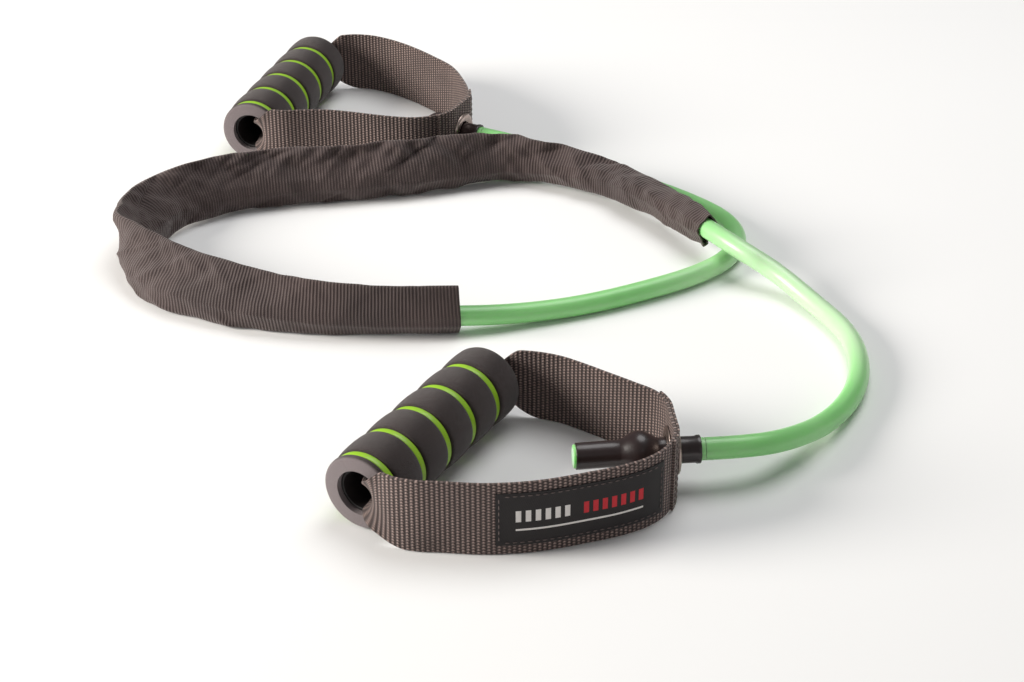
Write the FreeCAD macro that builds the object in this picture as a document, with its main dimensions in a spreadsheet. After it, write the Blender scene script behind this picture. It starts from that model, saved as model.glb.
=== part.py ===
"""Resistance band: a latex tube with two webbing and foam handles and a woven sleeve, in millimetres.

+Z is up and the band lies on the plane z = 0.  The origin is below the middle of the handles and sleeve.
Each handle has a frame of its own: the origin is the middle of the grip's first end, "along" runs along
the grip and "across" runs from the grip towards the webbing loop's eyelet.
"""

import FreeCAD, Part

import math
import os

import Sketcher
from FreeCAD import Placement, Rotation, Vector

DOC = FreeCAD.newDocument("ResistanceBand")

# ---------------------------------------------------------------- driving dimensions
SIZES = {
    # latex tube and its ends
    "tube_diameter": 11.0,
    "tube_bore": 5.0,
    "tube_tip": 1.2,
    "collar_wall": 0.85,
    "collar_inside": 45.0,
    "collar_outside": 16.5,
    "collar_lip": 0.4,
    "plug_diameter": 14.6,
    "plug_offset": 15.0,
    "plug_skin": 2.0,
    # eyelet in the end of each webbing loop
    "eyelet_clearance": 0.35,
    "eyelet_wall": 0.7,
    "eyelet_flange": 24.0,
    "flange_thickness": 0.8,
    "flange_gap": 0.35,
    # webbing, its patch and its label
    "webbing_width": 38.0,
    "webbing_thickness": 1.6,
    "patch_length": 44.0,
    "patch_thickness": 1.2,
    "layer_gap": 0.08,
    "curl_clearance": 0.7,
    "label_length": 82.0,
    "label_width": 28.0,
    "label_thickness": 0.5,
    "stitch_diameter": 0.6,
    # grip
    "grip_length": 116.0,
    "grip_diameter": 39.0,
    "grip_crown": 0.7,
    "core_outer": 23.0,
    "core_inner": 19.8,
    "core_recess": 3.0,
    "ring_width": 4.0,
    "ring_pitch": 22.6,
    "ring_depth": 2.4,
    "ring_sink": 0.4,
    "first_ring": 5.5,
    "foam_round": 2.0,
    # woven sleeve over the tube
    "sleeve_wall": 0.9,
    "sleeve_clearance": 0.7,
    "sleeve_fold": 2.2,
}
RING_COUNT = 5
COLLAR_LEAD = (22.0, 20.0)

# The tube's route between its two collars, chosen by hand.  One point straight out of each collar and
# the collars' own ends are added to it.
ROUTE = [
    (186, -190, 14),
    (208, -166, 7.5),
    (226, -138, 5.5),
    (234.5, -106, 5.5),
    (232, -72, 5.5),
    (217, -40, 5.5),
    (198, -17, 11),
    (179, -3.5, 19),
    (162, 21, 19.5),
    (148, 46, 17.5),
    (129, 75, 14),
    (106, 99, 12),
    (76, 116, 12),
    (42, 122, 12),
    (6, 109.5, 12),
    (-34, 99, 12),
    (-74, 92.5, 12),
    (-111, 84, 12),
    (-142, 64, 12),
    (-157, 36, 12),
    (-162, 10, 12),
    (-154, -14, 12),
    (-132, -36, 12),
    (-102, -51, 12),
    (-66, -62, 12),
    (-26, -66, 12),
    (14, -65.5, 11.8),
    (52, -56, 7),
    (90, -43, 5.5),
    (126, -25.5, 5.5),
    (154, -8, 5.5),
    (173, 12, 5.5),
    (180.5, 36, 5.5),
    (174, 61, 5.5),
    (155, 84, 5.5),
    (130, 106, 5.5),
    (104, 125, 5.5),
    (78, 134, 10),
]

# The flattened sleeve along the tube's line.  Each station is the distance from the near collar, the lean
# of the upper fold towards the outside of the loop (degrees) and the reach of the upper and the lower
# fold from the tube's middle.  The first and last stations are the sleeve's two mouths.
SLEEVE_STATIONS = [
    (297, 10, 8.5, 8.6),
    (330, 22, 9.0, 9.0),
    (360, 35, 10.5, 9.5),
    (390, 48, 12.5, 9.5),
    (414, 22, 14.5, 9.5),
    (434, 11, 16.5, 10.0),
    (460, 9, 19.5, 10.8),
    (495, 12, 21.5, 11.3),
    (530, 15, 22.5, 11.8),
    (600, 18, 22.5, 11.8),
    (650, 25, 22.5, 11.8),
    (698, 31, 23.0, 12.2),
    (714, 14, 23.0, 11.8),
    (730, -9, 23.0, 11.8),
    (748, -26, 23.5, 12.4),
    (772, -33, 23.5, 12.6),
    (806, -26, 22.5, 12.3),
    (844, -12, 20.0, 11.8),
    (880, -2, 18.5, 11.5),
    (932, 2, 18.5, 10.6),
]
SLEEVE_STEP = 9.0

# Each webbing loop in its handle's frame, chosen by hand: (share of the grip's length, along, across).
# It runs from the eyelet through the far end of the grip, out of the grip's first end and back.
HANDLES = {
    "near": {
        "place": (-18.7, -245.6),
        "turn": 60.1,
        "eyelet": (0, 103.6, 107.4),
        "eyelet_turn": -35.0,
        "back": [(1, 3.5, 92), (1, 6.2, 77), (1, 8, 62), (1, 9.6, 48), (1, 10.2, 36), (1, 8.4, 25),
                 (1, 4.6, 15)],
        "front": [(0, -3.6, 14.5), (0, -4.4, 21), (0, -2.8, 30), (0, 2.4, 41.5), (0, 12, 61.5),
                  (0, 25, 79.5), (0, 41, 95), (0, 57, 108.2), (0, 67, 114), (0, 79, 117)],
        "label_on": -1,
    },
    "far": {
        "place": (-109.4, 150.9),
        "turn": 73.84,
        "eyelet": (0, 37.3, 122.9),
        "eyelet_turn": 10.0,
        "back": [(0.5, -0.6, 122.2), (0.5, 15.6, 113.6), (1, -24.5, 100.5), (1, -12, 84), (1, -3, 70),
                 (1, 4, 56.5), (1, 8.5, 44), (1, 10.2, 32.5), (1, 8.4, 22), (1, 4.4, 14.5)],
        "front": [(0, -3.6, 14.5), (0, -3.4, 22), (0, 0.8, 34), (0, 5, 48), (0, 6.2, 62), (0, 6.3, 76),
                  (0, 6.8, 90), (0, 9, 103), (0, 16, 114.5)],
        "label_on": 1,
    },
}
FLAT_REACHES = (6.0, 11.0)
STRAP_STEP = 5.0
CURL_STEP = 3.0
CURL_RUN = 20.0
CURL_DEPTH = 10.0
MOUTH_CURL = 95.0
LABEL_START = 31.0
STITCH_LENGTH = 2.4
STITCH_PITCH = 4.0


def make_sheet():
    """Write the driving dimensions into the document's spreadsheet."""
    sheet = DOC.addObject("Spreadsheet::Sheet", "Sizes")
    for row, (name, value) in enumerate(SIZES.items(), start=1):
        sheet.set(f"A{row}", name)
        sheet.set(f"B{row}", str(value))
        sheet.setAlias(f"B{row}", name)
    DOC.recompute()
    return sheet


SHEET = make_sheet()


def size(name):
    """One driving dimension, read from the sheet."""
    return float(SHEET.get(name))


def evaluate(expression):
    """The present value of an expression of the sheet's dimensions."""
    return float(SHEET.evalExpression(expression.replace("Sizes.", "")))


# ---------------------------------------------------------------- values that follow from the sheet
AXIS_HEIGHT = "(max(Sizes.grip_diameter; Sizes.webbing_width) / 2)"
TUBE_RADIUS = "Sizes.tube_diameter / 2"
COLLAR_BORE = "(Sizes.tube_diameter / 2 + Sizes.layer_gap)"
COLLAR_RADIUS = f"({COLLAR_BORE} + Sizes.collar_wall)"
EYELET_HOLE = f"({COLLAR_RADIUS} + Sizes.eyelet_clearance)"
EYELET_BARREL = f"({EYELET_HOLE} + Sizes.eyelet_wall)"
INNER_REACH = "(Sizes.webbing_thickness / 2 + Sizes.flange_gap + Sizes.flange_thickness)"
OUTER_FACE = "(Sizes.webbing_thickness / 2 + Sizes.layer_gap + Sizes.patch_thickness + Sizes.flange_gap)"
TIP_TO_EYELET = "(Sizes.collar_inside + Sizes.tube_tip)"
PLUG_MIDDLE = f"({TIP_TO_EYELET} - Sizes.plug_offset)"
TUBE_END_LENGTH = f"({TIP_TO_EYELET} + Sizes.collar_outside)"
CORE_SEAT = "(Sizes.core_outer / 2 + Sizes.layer_gap)"
SEGMENT_EDGE = "(Sizes.grip_diameter / 2 - Sizes.grip_crown)"

FINISHED = {}


def finish(name, piece):
    """List a finished sub-part under the name of its file."""
    piece.Label = name
    FINISHED[name] = piece
    return piece


# ---------------------------------------------------------------- turned bodies
def plane_of(body, role):
    """The body's own origin plane with this role."""
    for feature in body.Origin.OriginFeatures:
        if feature.Role == role:
            return feature
    raise ValueError(role)


def turned_body(name, corners):
    """A body turned about its own X axis from (along, radius) corners, each an expression of the sheet."""
    body = DOC.addObject("PartDesign::Body", name)
    sketch = body.newObject("Sketcher::SketchObject", f"{name}_profile")
    sketch.AttachmentSupport = [(plane_of(body, "XY_Plane"), "")]
    sketch.MapMode = "FlatFace"
    points = [Vector(evaluate(along), evaluate(radius), 0) for along, radius in corners]
    count = len(corners)
    for i in range(count):
        sketch.addGeometry(Part.LineSegment(points[i], points[(i + 1) % count]), False)
    for i in range(count):
        sketch.addConstraint(Sketcher.Constraint("Coincident", i, 2, (i + 1) % count, 1))
    for i, corner in enumerate(corners):
        for kind, expression, value in zip(("DistanceX", "DistanceY"), corner, points[i]):
            number = sketch.addConstraint(Sketcher.Constraint(kind, -1, 1, i, 1, value))
            sketch.setExpression(f"Constraints[{number}]", expression)
    turned = body.newObject("PartDesign::Revolution", f"{name}_turned")
    turned.Profile = sketch
    turned.ReferenceAxis = (sketch, ["H_Axis"])
    turned.Angle = 360.0
    return finish(name, body)


def set_on_line(piece, start, turn, along="0"):
    """Place a piece on a level line: from start, along it by an expression of the sheet."""
    angle = math.radians(turn)
    piece.Placement = Placement(Vector(start[0], start[1], 0), Rotation(Vector(0, 0, 1), turn))
    piece.setExpression("Placement.Base.x", f"{start[0]:.6f} + {math.cos(angle):.9f} * ({along})")
    piece.setExpression("Placement.Base.y", f"{start[1]:.6f} + {math.sin(angle):.9f} * ({along})")
    piece.setExpression("Placement.Base.z", AXIS_HEIGHT)


# ---------------------------------------------------------------- the grip
def make_grip(side, place, turn):
    """Foam grip with its grooves, the plastic core inside it and the rings in the grooves."""
    groove_floor = f"({SEGMENT_EDGE} - Sizes.ring_depth)"
    corners = [("0", CORE_SEAT), ("0", f"{SEGMENT_EDGE} - Sizes.foam_round / 2"),
               ("Sizes.foam_round / 2", SEGMENT_EDGE)]
    for i in range(RING_COUNT):
        begin = f"(Sizes.first_ring + {i} * Sizes.ring_pitch - Sizes.ring_width / 2)"
        end = f"({begin} + Sizes.ring_width)"
        last = i == RING_COUNT - 1
        free = f"(Sizes.grip_length - {end})" if last else "(Sizes.ring_pitch - Sizes.ring_width)"
        corners += [(begin, SEGMENT_EDGE), (begin, groove_floor), (end, groove_floor), (end, SEGMENT_EDGE),
                    (f"{end} + {free} * 0.25", "Sizes.grip_diameter / 2"),
                    (f"{end} + {free} * 0.75", "Sizes.grip_diameter / 2")]
    corners += [("Sizes.grip_length", "Sizes.grip_diameter / 2 - Sizes.foam_round"),
                ("Sizes.grip_length", CORE_SEAT)]
    foam = turned_body(f"{side}_grip_foam", corners)
    set_on_line(foam, place, turn)

    core_end = "(Sizes.grip_length - 2 * Sizes.core_recess)"
    core = turned_body(f"{side}_grip_core", [
        ("0", "Sizes.core_inner / 2"), ("0", "Sizes.core_outer / 2"),
        (core_end, "Sizes.core_outer / 2"), (core_end, "Sizes.core_inner / 2")])
    set_on_line(core, place, turn, "Sizes.core_recess")

    ring_length = "(Sizes.ring_width - 2 * Sizes.layer_gap)"
    ring_bore = f"({groove_floor} + Sizes.layer_gap)"
    ring_outer = f"({SEGMENT_EDGE} - Sizes.ring_sink)"
    for i in range(RING_COUNT):
        ring = turned_body(f"{side}_grip_ring_{i + 1}", [
            ("0", ring_bore), ("0", ring_outer), (ring_length, ring_outer), (ring_length, ring_bore)])
        set_on_line(ring, place, turn,
                    f"Sizes.first_ring + {i} * Sizes.ring_pitch - {ring_length} / 2")


# ---------------------------------------------------------------- the tube's ends
def swollen_line(offset, plain_radius):
    """Corners of the surface of a tube that swells over its plug by this offset from the plug."""
    swell = [(-0.62, None), (-0.35, 0.41), (-0.15, 0.5), (0.15, 0.5), (0.35, 0.41), (0.62, None)]
    corners = []
    for share, radius in swell:
        along = f"({PLUG_MIDDLE} + {share} * Sizes.plug_diameter)"
        height = plain_radius if radius is None else f"({radius} * Sizes.plug_diameter + {offset})"
        corners.append((along, height))
    return corners


def make_tube_end(side, eyelet, turn):
    """The plugged end of the tube, its plug and the rubber collar over both."""
    start = f"0 - {TIP_TO_EYELET}"
    bore = "Sizes.tube_bore / 2"
    pocket = []
    for share, radius in [(0.5, 0.22), (0.35, 0.41), (0.15, 0.5), (-0.15, 0.5), (-0.35, 0.41), (-0.5, 0.22)]:
        gap = "Sizes.layer_gap" if share > 0 else "0 - Sizes.layer_gap"
        pocket.append((f"({PLUG_MIDDLE} + {share} * Sizes.plug_diameter + {gap})",
                       f"({radius} * Sizes.plug_diameter + Sizes.layer_gap)"))
    inner = [(TUBE_END_LENGTH, bore), (pocket[0][0], bore)] + pocket + [(pocket[-1][0], bore), ("0", bore)]
    outer = [("0", TUBE_RADIUS)] + swollen_line("Sizes.plug_skin", TUBE_RADIUS) + [(TUBE_END_LENGTH, TUBE_RADIUS)]
    end = turned_body(f"{side}_tube_end", outer + inner)
    set_on_line(end, eyelet, turn, start)

    plug_start = f"({PLUG_MIDDLE} - Sizes.plug_diameter / 2)"
    plug = turned_body(f"{side}_plug", [("0", "0")] + [
        (f"({share} * Sizes.plug_diameter)", f"({radius} * Sizes.plug_diameter)")
        for share, radius in [(0, 0.22), (0.15, 0.41), (0.35, 0.5), (0.65, 0.5), (0.85, 0.41), (1, 0.22)]
    ] + [("Sizes.plug_diameter", "0")])
    set_on_line(plug, eyelet, turn, f"{start} + {plug_start}")

    skin = "Sizes.plug_skin + Sizes.layer_gap"
    lip_start = f"({TUBE_END_LENGTH} - 3 * Sizes.collar_wall)"
    lip = f"({COLLAR_RADIUS} + Sizes.collar_lip)"
    collar_outer = [("Sizes.tube_tip", COLLAR_RADIUS)]
    collar_outer += swollen_line(f"{skin} + Sizes.collar_wall", COLLAR_RADIUS)
    collar_outer += [(lip_start, COLLAR_RADIUS), (f"({lip_start} + Sizes.collar_wall)", lip), (TUBE_END_LENGTH, lip)]
    collar_inner = [(TUBE_END_LENGTH, COLLAR_BORE)] + swollen_line(skin, COLLAR_BORE)[::-1]
    collar_inner += [("Sizes.tube_tip", COLLAR_BORE)]
    collar = turned_body(f"{side}_collar", collar_outer + collar_inner)
    set_on_line(collar, eyelet, turn, start)


def make_eyelet(side, eyelet, turn):
    """Metal eyelet through the webbing and its patch, and the washer it is set on inside the loop."""
    tail = "(Sizes.flange_thickness / 2)"
    face = f"({tail} + {INNER_REACH} + {OUTER_FACE})"
    front = f"({face} + Sizes.flange_thickness)"
    rim = "Sizes.eyelet_flange / 2"
    body = turned_body(f"{side}_eyelet", [
        ("0", EYELET_HOLE), ("0", EYELET_BARREL), (face, EYELET_BARREL), (face, rim),
        (f"({face} + Sizes.flange_thickness / 2)", rim), (front, f"({rim} - Sizes.flange_thickness)"),
        (front, EYELET_HOLE)])
    set_on_line(body, eyelet, turn, f"0 - {INNER_REACH} - {tail}")
    washer_bore = f"({EYELET_BARREL} + Sizes.layer_gap)"
    washer = turned_body(f"{side}_eyelet_washer", [
        ("0", washer_bore), ("0", f"({rim} - Sizes.flange_thickness)"),
        ("Sizes.flange_thickness / 2", rim), ("Sizes.flange_thickness", rim),
        ("Sizes.flange_thickness", washer_bore)])
    set_on_line(washer, eyelet, turn, f"0 - {INNER_REACH}")


# ---------------------------------------------------------------- webbing strips
class Handle:
    """One handle's frame and the line that its webbing follows."""

    def __init__(self, side, facts):
        self.side = side
        self.place = facts["place"]
        self.turn = facts["turn"]
        self.label_on = facts["label_on"]
        self.height = evaluate(AXIS_HEIGHT)
        angle = math.radians(facts["eyelet_turn"])
        middle = self.flat_point(*facts["eyelet"])
        level = self.direction(math.cos(angle), math.sin(angle))
        self.outward = self.direction(-math.sin(angle), math.cos(angle))
        self.eyelet = middle
        curl = size("core_inner") / 2 - size("curl_clearance") - size("webbing_thickness") / 2
        self.curl_radius = curl
        points = [middle] + [middle + level * reach for reach in FLAT_REACHES]
        points += [self.flat_point(*point) for point in facts["back"]]
        points += [self.flat_point(1, 2.4, curl + 2)]
        points += [self.flat_point(1, along, curl) for along in (-1, -6, -12)]
        points += [self.flat_point(share / 6, 0, curl) for share in range(5, 0, -1)]
        points += [self.flat_point(0, along, curl) for along in (12, 6, 1)]
        points += [self.flat_point(0, -2.4, curl + 2)]
        points += [self.flat_point(*point) for point in facts["front"]]
        points += [middle - level * reach for reach in reversed(FLAT_REACHES)] + [middle]
        self.line = Part.BSplineCurve()
        self.line.interpolate(points)
        self.length = self.line.length()
        self.step = self.length / round(self.length / STRAP_STEP)
        self.bore = self.bore_span()

    def direction(self, along, across):
        """A level direction given along and across the grip."""
        angle = math.radians(self.turn)
        return Vector(math.cos(angle) * along + math.sin(angle) * across,
                      math.sin(angle) * along - math.cos(angle) * across, 0)

    def flat_point(self, share, along, across):
        """A point at the axis height: a share of the grip's length, then along and across."""
        step = self.direction(share * size("grip_length") + along, across)
        return Vector(self.place[0] + step.x, self.place[1] + step.y, self.height)

    def frame(self, distance):
        """Point, direction and outward side at a distance along the closed webbing's line."""
        parameter = self.line.parameterAtDistance(distance % self.length, self.line.FirstParameter)
        direction = self.line.tangent(parameter)[0]
        return self.line.value(parameter), direction, Vector(direction.y, -direction.x, 0)

    def beyond_grip(self, point):
        """How far a point lies outside the grip's two ends."""
        offset = point - Vector(self.place[0], self.place[1], point.z)
        along = offset.dot(self.direction(1, 0))
        return max(-along, along - size("grip_length"))

    def bore_span(self):
        """The distances along the line at which the webbing enters and leaves the grip."""
        inside = []
        for tenth in range(int(self.length * 10)):
            point = self.frame(tenth / 10)[0]
            offset = point - Vector(self.place[0], self.place[1], point.z)
            if self.beyond_grip(point) < 0 and offset.dot(self.direction(0, 1)) < self.curl_radius + 1:
                inside.append(tenth / 10)
        return inside[0], inside[-1]

    def curl(self, distance):
        """Radius and half angle to which the webbing is curled across its width."""
        half = size("webbing_width") / 2
        outside = max(self.bore[0] - distance, distance - self.bore[1])
        if outside <= 0:
            tight = min(-outside / CURL_DEPTH, 1)
            mouth = math.radians(MOUTH_CURL)
            return self.curl_radius, mouth + (half / self.curl_radius - mouth) * tight
        left = 1 - min(outside / CURL_RUN, 0.999)
        height = self.curl_radius + (half - self.curl_radius) * (1 - left ** 1.6)
        sag = self.curl_radius * (1 - math.cos(math.radians(MOUTH_CURL))) * left ** 2.2
        return (height ** 2 + sag ** 2) / (2 * sag), 2 * math.atan2(sag, height)


def strip_section(point, outward, radius, half_angle, thickness):
    """Outline of a strip across its width, curled about a centre on its outward side."""
    up = Vector(0, 0, 1)
    middle = point + outward * radius

    def across(arc_radius):
        """Both ends and the middle of one face of the strip."""
        return [middle + outward * (-arc_radius * math.cos(angle)) + up * (arc_radius * math.sin(angle))
                for angle in (-half_angle, 0, half_angle)]

    inner, outer = across(radius + thickness / 2), across(radius - thickness / 2)
    edges = [Part.Arc(*inner).toShape(),
             Part.LineSegment(inner[2], outer[2]).toShape(),
             Part.Arc(*outer[::-1]).toShape(),
             Part.LineSegment(outer[0], inner[0]).toShape()]
    return Part.Wire(edges)


def flat_section(point, outward, width, thickness):
    """Outline of a flat strip on its edge."""
    corners = [point + outward * (side * thickness / 2) + Vector(0, 0, share * width)
               for side, share in ((-1, -0.5), (-1, 0.5), (1, 0.5), (1, -0.5))]
    return Part.makePolygon(corners + [corners[0]])


def flat_strip(handle, begin, end, width, thickness, offset=0.0):
    """A strip of woven cloth on its edge, along the webbing's line between two distances."""
    first, last = math.floor(begin / handle.step) + 1, math.ceil(end / handle.step)
    distances = [begin] + [i * handle.step for i in range(first, last)] + [end]
    inner = []
    outer = []
    for distance in distances:
        point, _, outward = handle.frame(distance)
        point = point - Vector(0, 0, width / 2)
        inner.append(point + outward * (offset - thickness / 2))
        outer.append(point + outward * (offset + thickness / 2))
    outline = inner + outer[::-1]
    return Part.Face(Part.makePolygon(outline + [outline[0]])).extrude(Vector(0, 0, width))


def curled_strip(handle, begin, end, width, thickness):
    """The part of the webbing that is curled across its width to pass through the grip."""
    steps = math.ceil((end - begin) / CURL_STEP)
    sections = []
    for i in range(steps + 1):
        distance = begin + (end - begin) * i / steps
        point, _, outward = handle.frame(distance)
        if i in (0, steps):
            sections.append(flat_section(point, outward, width, thickness))
        else:
            sections.append(strip_section(point, outward, *handle.curl(distance), thickness))
    return Part.makeLoft(sections, True, True)


def shape_piece(name, shape):
    """A piece whose shape is made by code."""
    piece = DOC.addObject("Part::Feature", name)
    piece.Shape = shape
    return finish(name, piece)


def stitch(point, direction, outward, offset, vertical):
    """One stitch of thread that lies on an outer face."""
    radius = size("stitch_diameter") / 2
    run = Vector(0, 0, 1) if vertical else direction
    middle = point + outward * (offset + radius + size("layer_gap"))
    return Part.makeCylinder(radius, STITCH_LENGTH, middle - run * (STITCH_LENGTH / 2), run)


def stitch_column(handle, distance, height, offset):
    """A column of stitches across the webbing at one place of its line."""
    point, direction, outward = handle.frame(distance)
    count = int(height / STITCH_PITCH)
    return [stitch(point + Vector(0, 0, (i - (count - 1) / 2) * STITCH_PITCH), direction, outward, offset, True)
            for i in range(count)]


def make_webbing(handle):
    """Webbing loop, the patch over its joint, its label and all its stitching."""
    width, thickness = size("webbing_width"), size("webbing_thickness")
    gap = size("layer_gap")
    hole_radius = evaluate(EYELET_BARREL) + gap
    drill = Part.makeCylinder(hole_radius, 20 * thickness, handle.eyelet - handle.outward * (10 * thickness),
                              handle.outward)
    first, last = handle.bore[0] - CURL_RUN, handle.bore[1] + CURL_RUN
    curled = curled_strip(handle, first, last, width, thickness)
    flat = [flat_strip(handle, gap, first, width, thickness).cut(drill),
            flat_strip(handle, last, handle.length - gap, width, thickness).cut(drill)]
    shape_piece(f"{handle.side}_strap", curled.fuse(flat))

    reach = size("patch_length") / 2
    patch_offset = thickness / 2 + gap + size("patch_thickness") / 2
    patch = flat_strip(handle, -reach, reach, width, size("patch_thickness"), patch_offset)
    shape_piece(f"{handle.side}_strap_patch", patch.cut(drill))

    on_back = handle.label_on > 0
    label_middle = LABEL_START + size("label_length") / 2
    middle = label_middle if on_back else handle.length - label_middle
    begin, end = middle - size("label_length") / 2, middle + size("label_length") / 2
    label_offset = thickness / 2 + gap + size("label_thickness") / 2
    shape_piece(f"{handle.side}_label",
                flat_strip(handle, begin, end, size("label_width"), size("label_thickness"), label_offset))

    threads = []
    patch_face = patch_offset + size("patch_thickness") / 2
    for inset in (2.5, 6.0):
        for distance in (reach - inset, handle.length - reach + inset):
            threads += stitch_column(handle, distance, width - 3, patch_face)
    label_face = label_offset + size("label_thickness") / 2
    for distance in (begin + 1.5, end - 1.5):
        threads += stitch_column(handle, distance, size("label_width") - 3, label_face)
    count = int((size("label_length") - 4) / STITCH_PITCH)
    for i in range(count):
        point, direction, outward = handle.frame(middle + (i - (count - 1) / 2) * STITCH_PITCH)
        for row in (-0.5, 0.5):
            height = Vector(0, 0, row * (size("label_width") - 3))
            threads.append(stitch(point + height, direction, outward, label_face, False))
    shape_piece(f"{handle.side}_stitching", Part.makeCompound(threads))


# ---------------------------------------------------------------- the tube and its sleeve
def rounded_path(points):
    """Straight runs joined by tangent arcs that are as large as the runs allow; prints the radii."""
    edges = []
    radii = []
    last = points[0]
    for before, corner, after in zip(points, points[1:], points[2:]):
        back, ahead = (before - corner), (after - corner)
        trim = 0.45 * min(back.Length, ahead.Length)
        turn = math.pi - back.getAngle(ahead)
        radius = trim / math.tan(turn / 2)
        radii.append(radius)
        back, ahead = Vector(back).normalize(), Vector(ahead).normalize()
        start, stop = corner + back * trim, corner + ahead * trim
        inward = (back + ahead).normalize()
        middle = corner + inward * (radius / math.cos(turn / 2) - radius)
        edges += [Part.LineSegment(last, start).toShape(), Part.Arc(start, middle, stop).toShape()]
        last = stop
    edges.append(Part.LineSegment(last, points[-1]).toShape())
    print("route radii", " ".join(f"{radius:.0f}" for radius in radii))
    print("route runs", " ".join(f"{(b - a).Length:.0f}" for a, b in zip(points, points[1:])))
    return edges


def walk(edges, distance):
    """Point and direction at a distance along a chain of edges."""
    for edge in edges:
        if distance <= edge.Length:
            parameter = edge.getParameterByLength(distance)
            return edge.valueAt(parameter), edge.tangentAt(parameter)
        distance -= edge.Length
    edge = edges[-1]
    return edge.valueAt(edge.LastParameter), edge.tangentAt(edge.LastParameter)


def make_tube(edges):
    """The latex tube between its collars, hollow, swept along its route."""
    path = Part.Wire(edges)
    start, direction = walk(edges, 0)
    solids = []
    for radius in (evaluate(TUBE_RADIUS), size("tube_bore") / 2):
        circle = Part.Wire(Part.Circle(start, direction, radius).toShape())
        sweep = Part.BRepOffsetAPI.MakePipeShell(path)
        sweep.setFrenetMode(False)
        sweep.add(circle)
        sweep.build()
        sweep.makeSolid()
        solids.append(sweep.shape())
    tube = solids[0].cut(solids[1])
    section = math.pi * (evaluate(TUBE_RADIUS) ** 2 - (size("tube_bore") / 2) ** 2)
    print(f"tube length {path.Length:.1f}, volume {tube.Volume:.0f}, section times length {section * path.Length:.0f}")
    return shape_piece("latex_tube", tube)


def sleeve_station(distance):
    """Lean, upper reach and lower reach of the sleeve at a distance along the tube."""
    for low, high in zip(SLEEVE_STATIONS, SLEEVE_STATIONS[1:]):
        if distance <= high[0]:
            part = (distance - low[0]) / (high[0] - low[0])
            return [a + (b - a) * part for a, b in zip(low[1:], high[1:])]
    return list(SLEEVE_STATIONS[-1][1:])


def sleeve_section(point, direction, distance, inset):
    """Outline of the flattened sleeve around the tube: two folds and a round belly."""
    lean, upper, lower = sleeve_station(distance)
    level = Vector(direction.x, direction.y, 0).normalize()
    outside = Vector(level.y, -level.x, 0)
    angle = math.radians(lean)
    rise = outside * math.sin(angle) + Vector(0, 0, math.cos(angle))
    side = outside * math.cos(angle) - Vector(0, 0, math.sin(angle))
    belly = evaluate(TUBE_RADIUS) + size("sleeve_clearance") + size("sleeve_wall") - inset
    fold = size("sleeve_fold") / 2 - inset * 0.8
    corners = [(upper - inset, fold), (0.42 * belly, belly), (-0.42 * belly, belly), (-lower + inset, fold)]
    outline = [point + rise * height + side * width for height, width in corners]
    outline += [point + rise * height - side * width for height, width in reversed(corners)]
    return Part.makePolygon(outline + [outline[0]])


def make_sleeve(edges):
    """The woven sleeve: a flattened tube of cloth that stands on its lower fold."""
    begin, end = SLEEVE_STATIONS[0][0], SLEEVE_STATIONS[-1][0]
    steps = math.ceil((end - begin) / SLEEVE_STEP)
    shells = []
    for inset in (0.0, size("sleeve_wall")):
        sections = []
        for i in range(steps + 1):
            distance = begin + (end - begin) * i / steps
            point, direction = walk(edges, distance)
            if inset and i in (0, steps):
                point = point + direction * (1.0 if i else -1.0)
            sections.append(sleeve_section(point, direction, distance, inset))
        shells.append(Part.makeLoft(sections, True, True))
    return shape_piece("protective_sleeve", shells[0].cut(shells[1]))


# ---------------------------------------------------------------- the whole band
def make_band():
    """Build both handles, then the tube between their collars and its sleeve."""
    ends = []
    for (side, facts), lead in zip(HANDLES.items(), COLLAR_LEAD):
        handle = Handle(side, facts)
        axis_turn = math.degrees(math.atan2(handle.outward.y, handle.outward.x))
        spot = (handle.eyelet.x, handle.eyelet.y)
        make_grip(side, handle.place, handle.turn)
        make_webbing(handle)
        make_eyelet(side, spot, axis_turn)
        make_tube_end(side, spot, axis_turn)
        mouth = handle.eyelet + handle.outward * size("collar_outside")
        ends.append([mouth, mouth + handle.outward * lead])
        print(f"{side} eyelet {handle.eyelet} axis {handle.outward} loop length {handle.length:.1f}")
    route = ends[0] + [Vector(*point) for point in ROUTE] + ends[1][::-1]
    edges = rounded_path(route)
    make_tube(edges)
    make_sleeve(edges)


def check_and_export():
    """Stop at any failed object or empty shape, then write one STEP file for each sub-part."""
    DOC.recompute()
    for item in DOC.Objects:
        if "Invalid" in item.State or "Error" in item.State:
            raise RuntimeError(f"{item.Name} failed: {item.State}")
    os.makedirs("parts", exist_ok=True)
    for name, piece in FINISHED.items():
        shape = piece.Shape
        if shape.isNull() or not shape.isValid() or shape.Volume <= 0:
            raise RuntimeError(f"{name} has no valid shape")
        shape.exportStep(f"parts/{name}.step")
    print(f"{len(FINISHED)} sub-parts written")


make_band()
check_and_export()
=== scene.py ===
"""Looks of the resistance band: a latex tube, a woven sleeve and two webbing handles with foam grips."""
import logging
import math
from dataclasses import dataclass, field
from enum import Enum
from functools import partial
from typing import Any, Callable, Iterable, Sequence

import bmesh
import bpy
from mathutils import Matrix, Vector, noise


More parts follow.
